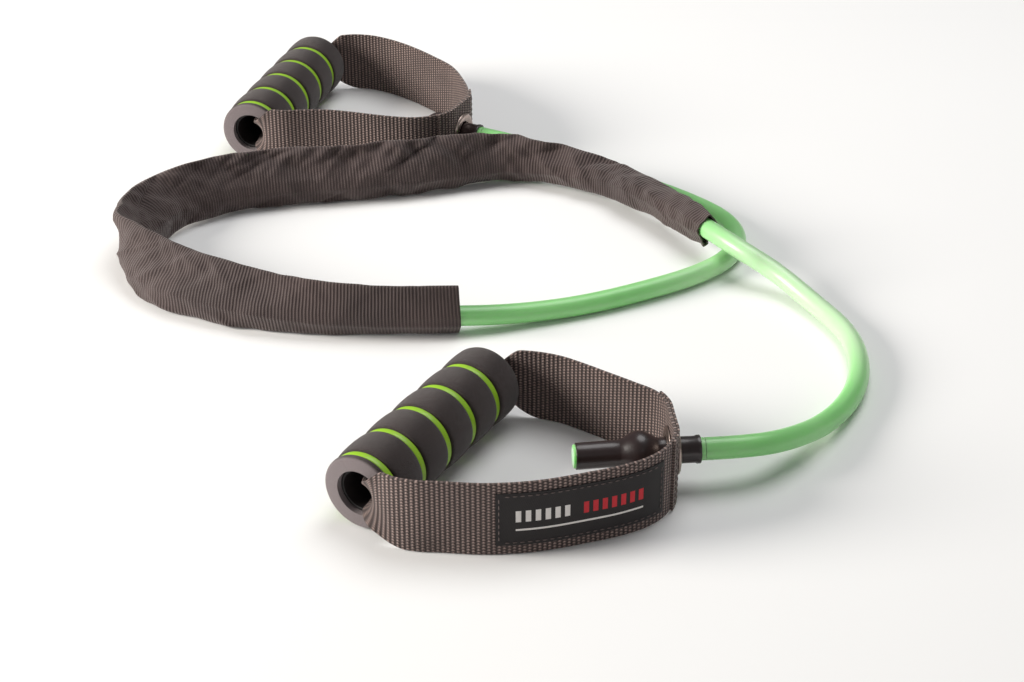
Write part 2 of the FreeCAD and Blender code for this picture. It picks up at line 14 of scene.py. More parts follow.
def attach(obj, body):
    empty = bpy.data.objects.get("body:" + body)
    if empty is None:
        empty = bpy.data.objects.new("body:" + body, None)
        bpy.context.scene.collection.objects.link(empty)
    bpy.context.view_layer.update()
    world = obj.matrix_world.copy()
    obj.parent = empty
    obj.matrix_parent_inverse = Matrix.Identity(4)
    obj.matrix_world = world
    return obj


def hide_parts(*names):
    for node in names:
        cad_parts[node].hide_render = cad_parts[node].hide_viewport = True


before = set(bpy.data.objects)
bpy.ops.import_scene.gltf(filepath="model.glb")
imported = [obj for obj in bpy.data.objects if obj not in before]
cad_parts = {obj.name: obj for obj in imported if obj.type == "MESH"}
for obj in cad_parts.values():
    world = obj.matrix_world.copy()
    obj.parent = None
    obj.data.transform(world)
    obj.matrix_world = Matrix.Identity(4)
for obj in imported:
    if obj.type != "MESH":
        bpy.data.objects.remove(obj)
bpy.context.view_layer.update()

LOG = logging.getLogger("band")
AXIS_HEIGHT = 0.0195
TUBE_RADIUS = 0.0055
WELD = 2e-6
SLEEVE_FLAT = (0.076, 0.635)
FAR_SAG, NEAR_SAG = 0.0075, 0.0008

Colour = tuple[float, float, float]


class Side(Enum):
    """The two handles, named by how near they lie."""

    NEAR = "near"
    FAR = "far"


# ---------------------------------------------------------------- shader maths
def operator(operation: str, swapped: bool = False) -> Callable[["Wire", Any], "Wire"]:
    """Make one of a wire's operators.

    Args:
        operation: The Math node's operation.
        swapped: Whether the wire stands on the right.

    Returns:
        The method.
    """
    def method(self: "Wire", other: Any) -> "Wire":
        """Add the operator's node."""
        return self.maths(operation, *((other, self) if swapped else (self, other)))

    return method


class Wire:
    """A socket in a material's nodes that can be used in plain expressions."""

    def __init__(self, bench: "Bench", socket: bpy.types.NodeSocket) -> None:
        """Keep the socket and the bench that it is on.

        Args:
            bench: The material being made.
            socket: An output socket of one of its nodes.
        """
        self.bench = bench
        self.socket = socket

    def maths(self, operation: str, first: Any, second: Any = None) -> "Wire":
        """Add one Math node.

        Args:
            operation: The node's operation.
            first: Its first value.
            second: Its second value, if it takes one.

        Returns:
            The node's result.
        """
        values = {0: first} if second is None else {0: first, 1: second}
        return self.bench.node("ShaderNodeMath", {"operation": operation}, values)

    __add__ = operator("ADD")
    __radd__ = operator("ADD", swapped=True)
    __sub__ = operator("SUBTRACT")
    __rsub__ = operator("SUBTRACT", swapped=True)
    __mul__ = operator("MULTIPLY")
    __rmul__ = operator("MULTIPLY", swapped=True)
    __truediv__ = operator("DIVIDE")
    __pow__ = operator("POWER")
    __gt__ = operator("GREATER_THAN")
    __lt__ = operator("LESS_THAN")

    def sine(self) -> "Wire":
        """Sine of an angle in radians."""
        return self.maths("SINE", self)

    def floor(self) -> "Wire":
        """Whole part."""
        return self.maths("FLOOR", self)

    def size(self) -> "Wire":
        """Absolute value."""
        return self.maths("ABSOLUTE", self)

    def part(self) -> "Wire":
        """Fractional part."""
        return self.maths("FRACT", self)

    def wave(self, pitch: float, phase: Any = 0.0) -> "Wire":
        """A wave from nought to one.

        Args:
            pitch: Length of one wave.
            phase: A shift in radians.

        Returns:
            The wave's height.
        """
        return ((self * (2 * math.pi / pitch) + phase).sine() + 1.0) * 0.5


class Bench:
    """One material's nodes, with the few ways of adding to them that the finishes use."""

    def __init__(self, name: str) -> None:
        """Start an empty material.

        Args:
            name: The material's name.
        """
        self.material = bpy.data.materials.new(name)
        self.material.use_nodes = True
        self.tree = self.material.node_tree
        self.tree.nodes.clear()

    def node(self, kind: str, settings: dict[str, Any], values: dict[Any, Any], out: Any = 0) -> Wire:
        """Add any node.

        Args:
            kind: The node's type.
            settings: Its settings; a ramp's stops are under "stops".
            values: Values or wires for its inputs, by name or number.
            out: Which output to hand back.

        Returns:
            The chosen output.
        """
        node = self.tree.nodes.new(kind)
        for key, value in settings.items():
            if key == "stops":
                self._stops(node, value)
            else:
                setattr(node, key, value)
        for key, value in values.items():
            if isinstance(value, Wire):
                self.tree.links.new(value.socket, node.inputs[key])
            else:
                node.inputs[key].default_value = value
        return Wire(self, node.outputs[out])

    @staticmethod
    def _stops(node: bpy.types.Node, stops: Sequence[tuple[float, Colour]]) -> None:
        """Set a ramp's stops.

        Args:
            node: A colour ramp.
            stops: Places and colours.
        """
        elements = node.color_ramp.elements
        while len(elements) < len(stops):
            elements.new(0.5)
        for element, (place, colour) in zip(elements, stops):
            element.position = place
            element.color = (*colour, 1.0)

    def along(self) -> Wire:
        """Distance along a piece, from its own map, in metres."""
        return self.node("ShaderNodeSeparateXYZ", {}, {0: self.cloth_map()}, 0)

    def across(self) -> Wire:
        """Distance across a piece, from its own map, in metres."""
        return self.node("ShaderNodeSeparateXYZ", {}, {0: self.cloth_map()}, 1)

    def cloth_map(self) -> Wire:
        """The piece's own map."""
        return self.node("ShaderNodeUVMap", {"uv_map": "cloth"}, {})

    def place(self) -> Wire:
        """Place in the object's frame."""
        return self.node("ShaderNodeTexCoord", {}, {}, 3)

    def grain(self, scale: float, detail: float = 2.0, where: Wire | None = None) -> Wire:
        """Soft noise.

        Args:
            scale: Spots in a metre.
            detail: Octaves.
            where: Its coordinates, the object's frame if not given.

        Returns:
            The noise from nought to one.
        """
        values = {"Vector": where or self.place(), "Scale": scale, "Detail": detail}
        return self.node("ShaderNodeTexNoise", {}, values)

    def blend(self, share: Any, first: Any, second: Any) -> Wire:
        """Mix two colours.

        Args:
            share: How much of the second.
            first: First colour or wire.
            second: Second colour or wire.

        Returns:
            The mixed colour.
        """
        wide = [c if isinstance(c, Wire) else (*c, 1.0) for c in (first, second)]
        return self.node("ShaderNodeMix", {"data_type": "RGBA"}, {0: share, 6: wide[0], 7: wide[1]}, 2)

    def bump(self, height: Wire, depth: float, strength: float = 1.0) -> Wire:
        """Relief for the Normal socket.

        Args:
            height: Height from nought to one.
            depth: What one stands for, in metres.
            strength: How much of it shows.

        Returns:
            The bent normal.
        """
        return self.node("ShaderNodeBump", {}, {"Strength": strength, "Distance": depth, "Height": height})

    def finish(self, values: dict[str, Any]) -> bpy.types.Material:
        """Add the surface itself.

        Args:
            values: Values or wires of the surface's sockets.

        Returns:
            The finished material.
        """
        surface = self.node("ShaderNodeBsdfPrincipled", {}, values)
        output = self.tree.nodes.new("ShaderNodeOutputMaterial")
        self.tree.links.new(surface.socket, output.inputs[0])
        return self.material


def shade(red: int, green: int, blue: int) -> Colour:
    """A colour from its red, green and blue out of 255.

    Args:
        red: Red.
        green: Green.
        blue: Blue.

    Returns:
        The colour as the shaders take it.
    """
    def straight(value: int) -> float:
        """One channel made linear."""
        part = value / 255
        return part / 12.92 if part <= 0.04045 else ((part + 0.055) / 1.055) ** 2.4

    return straight(red), straight(green), straight(blue)


# ---------------------------------------------------------------- finishes
@dataclass(frozen=True)
class Latex:
    """Translucent green latex, dipped, with faint clouding and dust, a painted pale highlight round one stretch
    of the tube and painted light on its closed end faces.
    """

    name: str = "green_latex"
    clear: Colour = shade(118, 204, 108)
    cloudy: Colour = shade(152, 220, 140)
    # painted highlight: the pale green painted on the lit stretch of the tube
    painted_highlight: Colour = shade(222, 240, 212)
    # painted light: the pale end face, standing in for light shining through the latex
    cut: Colour = shade(205, 245, 208)
    roughness: float = 0.36

    def make(self) -> bpy.types.Material:
        """Build the material.

        Returns:
            The material.
        """
        bench = Bench(self.name)
        cloud = bench.grain(38.0, 3.0)
        dust = bench.grain(900.0, 2.0)
        # mask of the end faces that are painted pale as if lit
        face = bench.node("ShaderNodeAttribute", {"attribute_name": "painted_light_face"}, {}, 2)
        green = bench.blend(cloud, self.clear, self.cloudy)
        # painted highlight: a pale patch blended in round a fixed spot near the right bend, where the light
        # falls
        reach = bench.node("ShaderNodeVectorMath", {"operation": "DISTANCE"},
                           {0: bench.place(), 1: (0.212, -0.045, 0.01)}, 1)
        highlight_share = bench.node("ShaderNodeMapRange", {"interpolation_type": "SMOOTHSTEP"},
                            {0: reach + cloud * 0.03, 1: 0.115, 2: 0.045, 3: 0.05, 4: 0.62})
        return bench.finish({
            "Base Color": bench.blend(face, bench.blend(highlight_share, green, self.painted_highlight), self.cut),
            "Roughness": dust * 0.22 + (self.roughness - 0.06),
            "Subsurface Weight": 0.55, "Subsurface Radius": (0.5, 1.0, 0.45), "Subsurface Scale": 0.004,
            "Coat Weight": 0.5, "Coat Roughness": 0.3,
            "Normal": bench.bump(cloud, 0.0012, 0.25)})


@dataclass(frozen=True)
class SleeveCloth:
    """Brown black nylon with fine ribs across its length."""

    name: str = "ribbed_nylon"
    rib: Colour = shade(96, 78, 75)
    valley: Colour = shade(38, 27, 27)
    pitch: float = 0.0018
    yarn: float = 0.0011

    def make(self) -> bpy.types.Material:
        """Build the material.

        Returns:
            The material.
        """
        bench = Bench(self.name)
        along, across = bench.along(), bench.across()
        drift = bench.grain(60.0, 2.0) * 2.0
        rib = along.wave(self.pitch, drift)
        yarn = across.wave(self.yarn, (along / self.pitch).floor() * math.pi)
        height = rib * (yarn * 0.35 + 0.65)
        worn = bench.grain(24.0, 5.0)
        fibre = bench.grain(1900.0, 2.0)
        colour = bench.blend(height * 0.55 + worn * 0.75 + fibre * 0.2 - 0.35, self.valley, self.rib)
        return bench.finish({
            "Base Color": colour,
            "Roughness": 0.86 - height * 0.2,
            "Sheen Weight": 0.35, "Sheen Roughness": 0.45, "Sheen Tint": (0.85, 0.78, 0.76, 1.0),
            "Normal": bench.bump(height, 0.00045, 0.9)})


@dataclass(frozen=True)
class Webbing:
    """Coarse woven strap: light yarn knots in columns across a dark ground."""

    name: str = "webbing_weave"
    ground: Colour = shade(27, 17, 17)
    knot: Colour = shade(176, 150, 142)
    pitch: float = 0.0023
    dot: float = 0.0016

    def make(self) -> bpy.types.Material:
        """Build the material.

        Returns:
            The material.
        """
        bench = Bench(self.name)
        along, across = bench.along(), bench.across()
        column = along.wave(self.pitch)
        beat = (along / self.pitch + 0.25).floor() * math.pi
        slant = ((along / self.pitch + 0.25).part() - 0.5).size() * 2.4
        knot = across.wave(self.dot, beat + slant)
        height = column * (knot * 0.7 + 0.3)
        fibre = bench.grain(2600.0, 2.0)
        worn = bench.grain(45.0, 3.0)
        lit = (column * (knot * 0.92 + 0.08)) ** 1.15 * (worn * 0.9 + 0.45)
        colour = bench.blend(lit + fibre * 0.1, self.ground, self.knot)
        return bench.finish({
            "Base Color": colour,
            "Roughness": 0.82 - lit * 0.2,
            "Sheen Weight": 0.2, "Sheen Roughness": 0.5, "Sheen Tint": (0.85, 0.8, 0.78, 1.0),
            "Normal": bench.bump(height + fibre * 0.1, 0.0007, 0.9)})


@dataclass(frozen=True)
class LabelCloth:
    """Fine black label cloth with a plain woven trim: pale bars, red bars and one thin pale line."""

    name: str = "woven_label"
    ground: Colour = shade(22, 15, 16)
    pale: Colour = shade(225, 220, 216)
    red: Colour = shade(196, 32, 44)

    def make(self) -> bpy.types.Material:
        """Build the material.

        Returns:
            The material.
        """
        bench = Bench(self.name)
        along, across = bench.along(), bench.across()
        twill = (along + across).wave(0.0007)
        row = self._box(across, -0.0015, 0.0045) * ((along / 0.0045).part() < 0.55)
        pale = self._box(along, 0.0090, 0.0355) * row
        red = self._box(along, 0.0405, 0.0715) * row
        line = self._box(along, 0.0090, 0.0700) * self._box(across, -0.0062, -0.0052)
        colour = bench.blend(pale + line, self.ground, self.pale)
        colour = bench.blend(red, colour, self.red)
        return bench.finish({
            "Base Color": colour, "Roughness": 0.62 + twill * 0.2,
            "Sheen Weight": 0.2, "Sheen Roughness": 0.4,
            "Normal": bench.bump(twill, 0.00012, 0.6)})

    @staticmethod
    def _box(value: Wire, low: float, high: float) -> Wire:
        """One between two limits.

        Args:
            value: What is tested.
            low: Lower limit.
            high: Upper limit.

        Returns:
            The mask.
        """
        return (value > low) * (value < high)


@dataclass(frozen=True)
class Thread:
    """Twisted sewing thread."""

    name: str = "sewing_thread"
    colour: Colour = shade(120, 106, 102)
    dark: Colour = shade(64, 54, 54)

    def make(self) -> bpy.types.Material:
        """Build the material.

        Returns:
            The material.
        """
        bench = Bench(self.name)
        twist = bench.grain(2400.0, 2.0)
        return bench.finish({
            "Base Color": bench.blend(twist, self.dark, self.colour), "Roughness": twist * 0.2 + 0.6,
            "Normal": bench.bump(twist, 0.0002, 0.6)})


@dataclass(frozen=True)
class Foam:
    """Closed-cell foam rubber, fine pores, with painted light on its end faces."""

    name: str = "grip_foam"
    skin: Colour = shade(26, 13, 12)
    high: Colour = shade(56, 37, 34)
    # painted light: the pale grey of the end faces where the light falls
    cut: Colour = shade(138, 126, 128)

    def make(self) -> bpy.types.Material:
        """Build the material.

        Returns:
            The material.
        """
        bench = Bench(self.name)
        pores = bench.node("ShaderNodeTexVoronoi", {"feature": "DISTANCE_TO_EDGE"},
                           {"Vector": bench.place(), "Scale": 1500.0})
        fine = bench.grain(2200.0, 3.0)
        cloud = bench.grain(70.0, 4.0)
        face = bench.node("ShaderNodeAttribute", {"attribute_name": "painted_light_face"}, {}, 2)
        fleck = bench.grain(1300.0, 1.0) > 0.66
        skin = bench.blend(cloud * 0.6 + fine * 0.25 + fleck * 0.5, self.skin, self.high)
        return bench.finish({
            # Painted light: the end faces are blended towards pale grey, more on the flat faces than on the
            # rounded rims, which carry a painted highlight.
            "Base Color": bench.blend(face * (fine * 0.4 + 0.5), skin, self.cut),
            "Roughness": fine * 0.25 + 0.62,
            "Sheen Weight": 0.25, "Sheen Roughness": 0.5,
            "Normal": bench.bump(pores * 2.0 + fine, 0.00035, 0.7)})


@dataclass(frozen=True)
class Plain:
    """A moulded or rolled material with fine grain: rubber, plastic or metal.

    Fields give its two colours, gloss, metal and the scale and depth of its grain.
    """

    name: str
    colour: Colour
    other: Colour
    roughness: float
    metal: float = 0.0
    coat: float = 0.0
    scale: float = 500.0
    depth: float = 0.00015
    see_through: float = 0.0

    def make(self) -> bpy.types.Material:
        """Build the material.

        Returns:
            The material.
        """
        bench = Bench(self.name)
        grain = bench.grain(self.scale, 3.0)
        cloud = bench.grain(90.0, 3.0)
        return bench.finish({
            "Base Color": bench.blend(cloud, self.colour, self.other),
            "Roughness": grain * 0.2 + (self.roughness - 0.1),
            "Metallic": self.metal, "Coat Weight": self.coat, "Coat Roughness": 0.15,
            "Subsurface Weight": self.see_through, "Subsurface Radius": (0.6, 1.0, 0.4),
            "Subsurface Scale": 0.002,
            "Normal": bench.bump(grain, self.depth, 0.5)})


class Finishes:
    """Every finish, made once and shared."""

    def __init__(self) -> None:
        """Make the materials."""
        self.latex = Latex().make()
        self.sleeve = SleeveCloth().make()
        self.webbing = Webbing().make()
        self.label = LabelCloth().make()
        self.thread = Thread().make()
        self.foam = Foam().make()
        self.rubber = Plain("collar_rubber", shade(27, 16, 16), shade(46, 31, 31), 0.36, coat=0.3,
                            scale=300.0, depth=0.0002).make()
        self.core = Plain("core_plastic", shade(13, 9, 10), shade(20, 15, 16), 0.6).make()
        self.plug = Plain("plug_plastic", shade(210, 208, 200), shade(228, 226, 220), 0.4).make()
        self.metal = Plain("eyelet_metal", shade(196, 180, 172), shade(150, 132, 124), 0.3, metal=1.0,
                           scale=900.0, depth=0.00005).make()
        self.ring = Plain("ring_plastic", shade(146, 196, 38), shade(160, 208, 46), 0.42, coat=0.15,
                          see_through=0.1).make()


# ---------------------------------------------------------------- lines in space
class SmoothLine:
    """A smooth line through rows of numbers at growing places."""

    def __init__(self, places: Sequence[float], rows: Sequence[Sequence[float]]) -> None:
        """Work out the slopes once.

        Args:
            places: Where each row stands, growing.
            rows: The numbers at each place.
        """
        self.places = list(places)
        self.rows = [list(row) for row in rows]
        steps = [b - a for a, b in zip(self.places, self.places[1:])]
        runs = [[(q - p) / step for p, q in zip(a, b)]
                for a, b, step in zip(self.rows, self.rows[1:], steps)]
        self.slopes = [runs[0]]
        for i in range(1, len(steps)):
            weight = steps[i - 1] + steps[i]
            self.slopes.append([(p * steps[i] + q * steps[i - 1]) / weight
                                for p, q in zip(runs[i - 1], runs[i])])
        self.slopes.append(runs[-1])

    def at(self, place: float) -> list[float]:
        """The numbers at any place.

        Args:
            place: Where to read them.

        Returns:
            The smoothly joined numbers.
        """
        i = 0
        while i < len(self.places) - 2 and place > self.places[i + 1]:
            i += 1
        step = self.places[i + 1] - self.places[i]
        t = min(max((place - self.places[i]) / step, 0.0), 1.0)
        h00, h10 = 2 * t ** 3 - 3 * t ** 2 + 1, t ** 3 - 2 * t ** 2 + t
        h01, h11 = 3 * t ** 2 - 2 * t ** 3, t ** 3 - t ** 2
        return [h00 * a + h10 * step * m + h01 * b + h11 * step * n
                for a, b, m, n in zip(self.rows[i], self.rows[i + 1], self.slopes[i], self.slopes[i + 1])]


class Trail:
    """A line in space that is read by the distance along it."""

    def __init__(self, points: Sequence[Vector]) -> None:
        """Measure the line.

        Args:
            points: Points close together along it.
        """
        self.points = list(points)
        self.marks = [0.0]
        for a, b in zip(self.points, self.points[1:]):
            self.marks.append(self.marks[-1] + (b - a).length)
        self.length = self.marks[-1]

    def _span(self, distance: float) -> tuple[int, float]:
        """Find the stretch that holds a distance.

        Args:
            distance: How far along the line.

        Returns:
            The stretch's number and how far into it, as a share.
        """
        low, high = 0, len(self.marks) - 2
        while low < high:
            middle = (low + high + 1) // 2
            if self.marks[middle] <= distance:
                low = middle
            else:
                high = middle - 1
        return low, (distance - self.marks[low]) / max(self.marks[low + 1] - self.marks[low], 1e-9)

    def point(self, distance: float) -> Vector:
        """The point at a distance."""
        i, share = self._span(distance)
        return self.points[i].lerp(self.points[i + 1], share)

    def frame(self, distance: float, reach: float = 0.0015) -> tuple[Vector, Vector, Vector]:
        """Point, direction and outward side at a distance.

        Args:
            distance: How far along the line.
            reach: How far each way the direction is measured.

        Returns:
            The point, the direction and the level side to the right of it.
        """
        before = self.point(max(distance - reach, 0.0))
        after = self.point(min(distance + reach, self.length))
        direction = (after - before).normalized()
        outward = Vector((direction.y, -direction.x, 0.0)).normalized()
        return self.point(distance), direction, outward


# ---------------------------------------------------------------- making pieces
class Workbench:
    """Turns finished bmeshes into pieces that ride and stand for their nodes."""

    def __init__(self) -> None:
        """Start with no pieces."""
        self.made: list[bpy.types.Object] = []

    def place(self, bm: bmesh.types.BMesh, name: str, material: bpy.types.Material, body: str, slot: str,
              nodes: Iterable[str] = (), sharp: float = 40.0) -> bpy.types.Object:
        """Make a piece from a bmesh.

        Args:
            bm: The shape; it is freed.
            name: The piece's name.
            material: Its finish.
            body: The body that it rides on.
            slot: The record's slot for its finish.
            nodes: CAD nodes that it stands for.
            sharp: Edges steeper than this many degrees stay crisp.

        Returns:
            The piece.
        """
        mesh = bpy.data.meshes.new(name)
        bm.to_mesh(mesh)
        bm.free()
        mesh.shade_smooth()
        mesh.set_sharp_from_angle(angle=math.radians(sharp))
        mesh.materials.append(material)
        piece = bpy.data.objects.new(name, mesh)
        bpy.context.scene.collection.objects.link(piece)
        self.dress(piece, body, slot, nodes)
        LOG.info("%s: %d faces on %s", name, len(mesh.polygons), body)
        return piece

    def dress(self, piece: bpy.types.Object, body: str, slot: str, nodes: Iterable[str]) -> None:
        """Hang a piece on its body, hide the CAD nodes that it stands for and keep it.

        Args:
            piece: The piece.
            body: The body that it rides on.
            slot: Not used.
            nodes: CAD nodes that it stands for.
        """
        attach(piece, body)
        if list(nodes):
            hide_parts(*nodes)
        self.made.append(piece)


def turned(line: Sequence[tuple[float, float]], place: Matrix, closed: bool = True, steps: int = 64,
           soften: float = 0.0, keep: Callable[[float, float], bool] = lambda along, radius: True,
           crease: float = 30.0) -> bmesh.types.BMesh:
    """Spin a line of (along, radius) points round the X axis and soften its sharp rims.

    Args:
        line: The profile.
        place: Where the finished shape goes.
        closed: Whether the profile joins up; an open one starts and ends on the axis.
        steps: Faces round the shape.
        soften: Width of the rounding on its rims.
        keep: Which rims are rounded, from their place along and radius.
        crease: Rims steeper than this many degrees are rounded.

    Returns:
        The shape.
    """
    bm = bmesh.new()
    verts = [bm.verts.new((along, 0.0, radius)) for along, radius in line]
    pairs = list(zip(verts, verts[1:])) + ([(verts[-1], verts[0])] if closed else [])
    edges = [bm.edges.new(pair) for pair in pairs]
    bmesh.ops.spin(bm, geom=verts + edges, cent=(0, 0, 0), axis=(1, 0, 0), angle=2 * math.pi, steps=steps,
                   use_merge=True)
    bmesh.ops.remove_doubles(bm, verts=bm.verts, dist=1e-6)
    bmesh.ops.recalc_face_normals(bm, faces=bm.faces)
    if soften:
        rims = []
        for edge in bm.edges:
            ends = [v.co for v in edge.verts]
            radii = [math.hypot(co.y, co.z) for co in ends]
            level = abs(ends[0].x - ends[1].x) < 1e-6 and abs(radii[0] - radii[1]) < 1e-6
            if level and radii[0] > 1e-5 and edge.calc_face_angle(0.0) > math.radians(crease):
                if keep(ends[0].x, radii[0]):
                    rims.append(edge)
        bmesh.ops.bevel(bm, geom=rims, offset=soften, offset_type="OFFSET", segments=3, profile=0.5,
                        affect="EDGES", material=-1, clamp_overlap=True)
    bmesh.ops.transform(bm, matrix=place, verts=bm.verts)
    return bm


def lofted(length: float, columns: int, around: int, spot: Callable[[float, float], Vector],
           girth: Callable[[float], float], capped: bool) -> bmesh.types.BMesh:
    """Roll a grid into a long strip or sleeve.

    Args:
        length: Length of the piece.
        columns: Faces along it.
        around: Faces round it.
        spot: The place of a point from its distance and its share of the way round.
        girth: Distance across for the map, from the share of the way round.
        capped: Whether its two ends are filled.

    Returns:
        The shape, with its map in metres.
    """
    bm = bmesh.new()
    layer = bm.loops.layers.uv.new("cloth")
    bmesh.ops.create_grid(bm, x_segments=columns, y_segments=around, size=1.0, calc_uvs=False)
    for face in bm.faces:
        for loop in face.loops:
            co = loop.vert.co
            loop[layer].uv = ((co.x + 1) / 2 * length, girth((co.y + 1) / 2))
    for vert in bm.verts:
        vert.co = spot((vert.co.x + 1) / 2 * length, (vert.co.y + 1) / 2)
    bmesh.ops.remove_doubles(bm, verts=bm.verts, dist=WELD)
    if capped:
        bmesh.ops.holes_fill(bm, edges=[edge for edge in bm.edges if edge.is_boundary], sides=0)
    bmesh.ops.recalc_face_normals(bm, faces=bm.faces)
    return bm


def ribbon_edge(share: float, width: float, thickness: float) -> tuple[float, float]:
    """A point on the outline of a ribbon with rounded selvedges.

    Args:
        share: Share of the way round, from the middle of one face.
        width: The ribbon's width.
        thickness: Its thickness.

    Returns:
        The distance across and the distance out of its middle surface.
    """
    angle = 2 * math.pi * share
    side, face = math.cos(angle), math.sin(angle)
    across = math.copysign(min(abs(side) * 1.08, 1.0), side)
    out = math.copysign(min(abs(face) * 2.2, 1.0) ** 0.6, face) if abs(face) > 1e-9 else 0.0
    return across * width / 2, out * thickness / 2


# ---------------------------------------------------------------- the tube and its sleeve
@dataclass
class Band:
    """The latex tube on its route and the sleeve round its middle."""

    bench: Workbench
    finishes: Finishes
    diameter: float = 2 * TUBE_RADIUS
    length: float = 1.3236
    route: list[tuple[float, float, float]] = field(default_factory=lambda: [
        (0.1425, -0.2079, 0.0195), (0.1644, -0.2059, 0.0195), (0.186, -0.1905, 0.014),
        (0.207, -0.166, 0.0075), (0.2238, -0.1372, 0.0055), (0.2318, -0.106, 0.0055),
        (0.2298, -0.073, 0.0055), (0.2152, -0.041, 0.0055), (0.1978, -0.016, 0.011), (0.179, -0.0055, 0.019),
        (0.1615, 0.021, 0.0195), (0.1485, 0.0455, 0.0175), (0.129, 0.0755, 0.014), (0.1065, 0.1, 0.012),
        (0.076, 0.117, 0.012), (0.042, 0.124, 0.012), (0.0065, 0.109, 0.012), (-0.034, 0.0985, 0.012),
        (-0.074, 0.0928, 0.012), (-0.112, 0.0855, 0.012), (-0.1435, 0.065, 0.012), (-0.158, 0.036, 0.012),
        (-0.1635, 0.01, 0.012), (-0.1555, -0.014, 0.012), (-0.133, -0.037, 0.012), (-0.103, -0.051, 0.012),
        (-0.067, -0.063, 0.012), (-0.026, -0.066, 0.012), (0.014, -0.0665, 0.0118), (0.052, -0.0562, 0.007),
        (0.09, -0.0437, 0.0055), (0.127, -0.0255, 0.0055), (0.155, -0.0083, 0.0055), (0.1742, 0.0112, 0.0055),
        (0.182, 0.036, 0.0055), (0.1755, 0.061, 0.0055), (0.1555, 0.084, 0.0055), (0.13, 0.106, 0.0055),
        (0.104, 0.1258, 0.0055), (0.078, 0.135, 0.01), (0.0518, 0.1364, 0.0195), (0.0338, 0.1452, 0.0195)])
    # distance along the tube, lean of the upper fold in degrees, upper and lower reach in millimetres
    stations: list[tuple[float, float, float, float]] = field(default_factory=lambda: [
        (297, 10, 9.0, 11.5), (330, 22, 9.4, 10.4), (360, 35, 10.5, 9.5), (390, 48, 12.5, 9.5),
        (414, 22, 14.5, 9.5), (434, 11, 16.5, 10.0), (460, 9, 19.5, 10.8), (495, 12, 21.5, 11.3),
        (530, 15, 22.5, 11.8), (600, 18, 22.5, 11.8), (650, 25, 22.5, 11.8), (698, 31, 23.0, 12.2),
        (714, 14, 23.0, 11.8), (730, -9, 23.0, 11.8), (748, -26, 23.5, 12.4), (772, -33, 23.5, 12.6),
        (806, -26, 22.5, 12.3), (844, -12, 20.0, 11.8), (880, -2, 18.5, 11.5), (932, 2, 18.5, 10.6)])
    # distance along the tube and how strong the crumples are there, then the same for the sway
    creasing: list[tuple[float, float]] = field(default_factory=lambda: [
        (297, 1.7), (350, 1.9), (420, 1.7), (640, 1.4), (700, 1.5), (790, 0.9), (860, 0.4), (932, 0.12)])
    swing: list[tuple[float, float]] = field(default_factory=lambda: [
        (297, 1.8), (360, 2.0), (520, 2.3), (640, 2.0), (700, 1.0), (790, 1.3), (860, 0.5), (932, 0.1)])
    belly: float = 0.0071
    fold: float = 0.0013
    fold_round: float = 0.0016
    wall: float = 0.0008
    calm: float = 860.0
    columns: int = 420
    around: int = 72

    def __post_init__(self) -> None:
        """Work out the tables that are read at every point of the sleeve."""
        self.shapes, self.crumples, self.sways = (
            SmoothLine([row[0] for row in rows], [row[1:] for row in rows])
            for rows in (self.stations, self.creasing, self.swing))

    def build(self) -> None:
        """Make the tube and the sleeve."""
        line = self.make_tube()
        self.make_sleeve(line)

    def make_tube(self) -> Trail:
        """Lay the tube on its route.

        Returns:
            The tube's middle line.
        """
        curve = bpy.data.curves.new("latex_tube", "CURVE")
        curve.dimensions = "3D"
        curve.resolution_u = 24
        curve.render_resolution_u = 24
        spline = curve.splines.new("NURBS")
        spline.points.add(len(self.route) - 1)
        for point, place in zip(spline.points, self.route):
            point.co = (*place, 1.0)
        spline.order_u = 3
        spline.use_endpoint_u = True
        tube = bpy.data.objects.new("green_tube", curve)
        bpy.context.scene.collection.objects.link(tube)
        bpy.context.view_layer.update()
        thread = bpy.data.meshes.new_from_object(tube)
        line = Trail([vert.co.copy() for vert in thread.vertices])
        bpy.data.meshes.remove(thread)
        curve.bevel_depth = self.diameter / 2
        curve.bevel_resolution = 8
        curve.resolution_u = 12
        curve.render_resolution_u = 12
        curve.use_fill_caps = True
        curve.materials.append(self.finishes.latex)
        self.bench.dress(tube, "band", "latex", ["latex_tube"])
        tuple(self.route[0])
        LOG.info("green_tube: %.3f m", line.length)
        return line

    def crumple(self, distance: float, height: float, face: float) -> float:
        """How far the sleeve's cloth stands out or in.

        Args:
            distance: Millimetres along the tube.
            height: Millimetres above the tube's middle.
            face: One on the outer face, minus one on the inner face.

        Returns:
            The crumple in metres.
        """
        lively = self.crumples.at(distance)[0]
        slanted = noise.noise(Vector((distance / 24 + height / 30, height / 34, face * 9.7)))
        fine = noise.noise(Vector((distance / 9 - height / 16, height / 22, face * 3.1 + 40)))
        ridge = 1 - abs(noise.noise(Vector((distance / 34 - height / 26, height / 60, face * 5.3 + 7)))) * 2
        small = noise.noise(Vector((distance / 5.5 + height / 9, height / 11, face * 6.6 + 11)))
        return lively * (1.1 * slanted + 0.9 * fine + 0.4 * small + 0.9 * max(ridge, 0.0) ** 3) * 0.001

    def sway(self, distance: float, height: float) -> float:
        """How far both layers of the flat part lean out together.

        Args:
            distance: Millimetres along the tube.
            height: Millimetres above the tube's middle.

        Returns:
            The sway in metres.
        """
        lively = self.sways.at(distance)[0]
        free = min(max((abs(height) - 3.0) / 9.0, 0.0), 1.0)
        broad = noise.noise(Vector((distance / 21 + height / 26, height / 30, 2.2)))
        fold = noise.noise(Vector((distance / 12 - height / 11, height / 24, 61.0)))
        crease = 1 - abs(noise.noise(Vector((distance / 30 + height / 14, height / 50, 17.5)))) * 3.2
        pucker = noise.noise(Vector((distance / 7.5 + height / 8, height / 13, 33.0)))
        return lively * free * (2.0 * broad + 1.5 * fold + 0.7 * pucker + 1.1 * max(crease, 0.0) ** 2) * 0.001

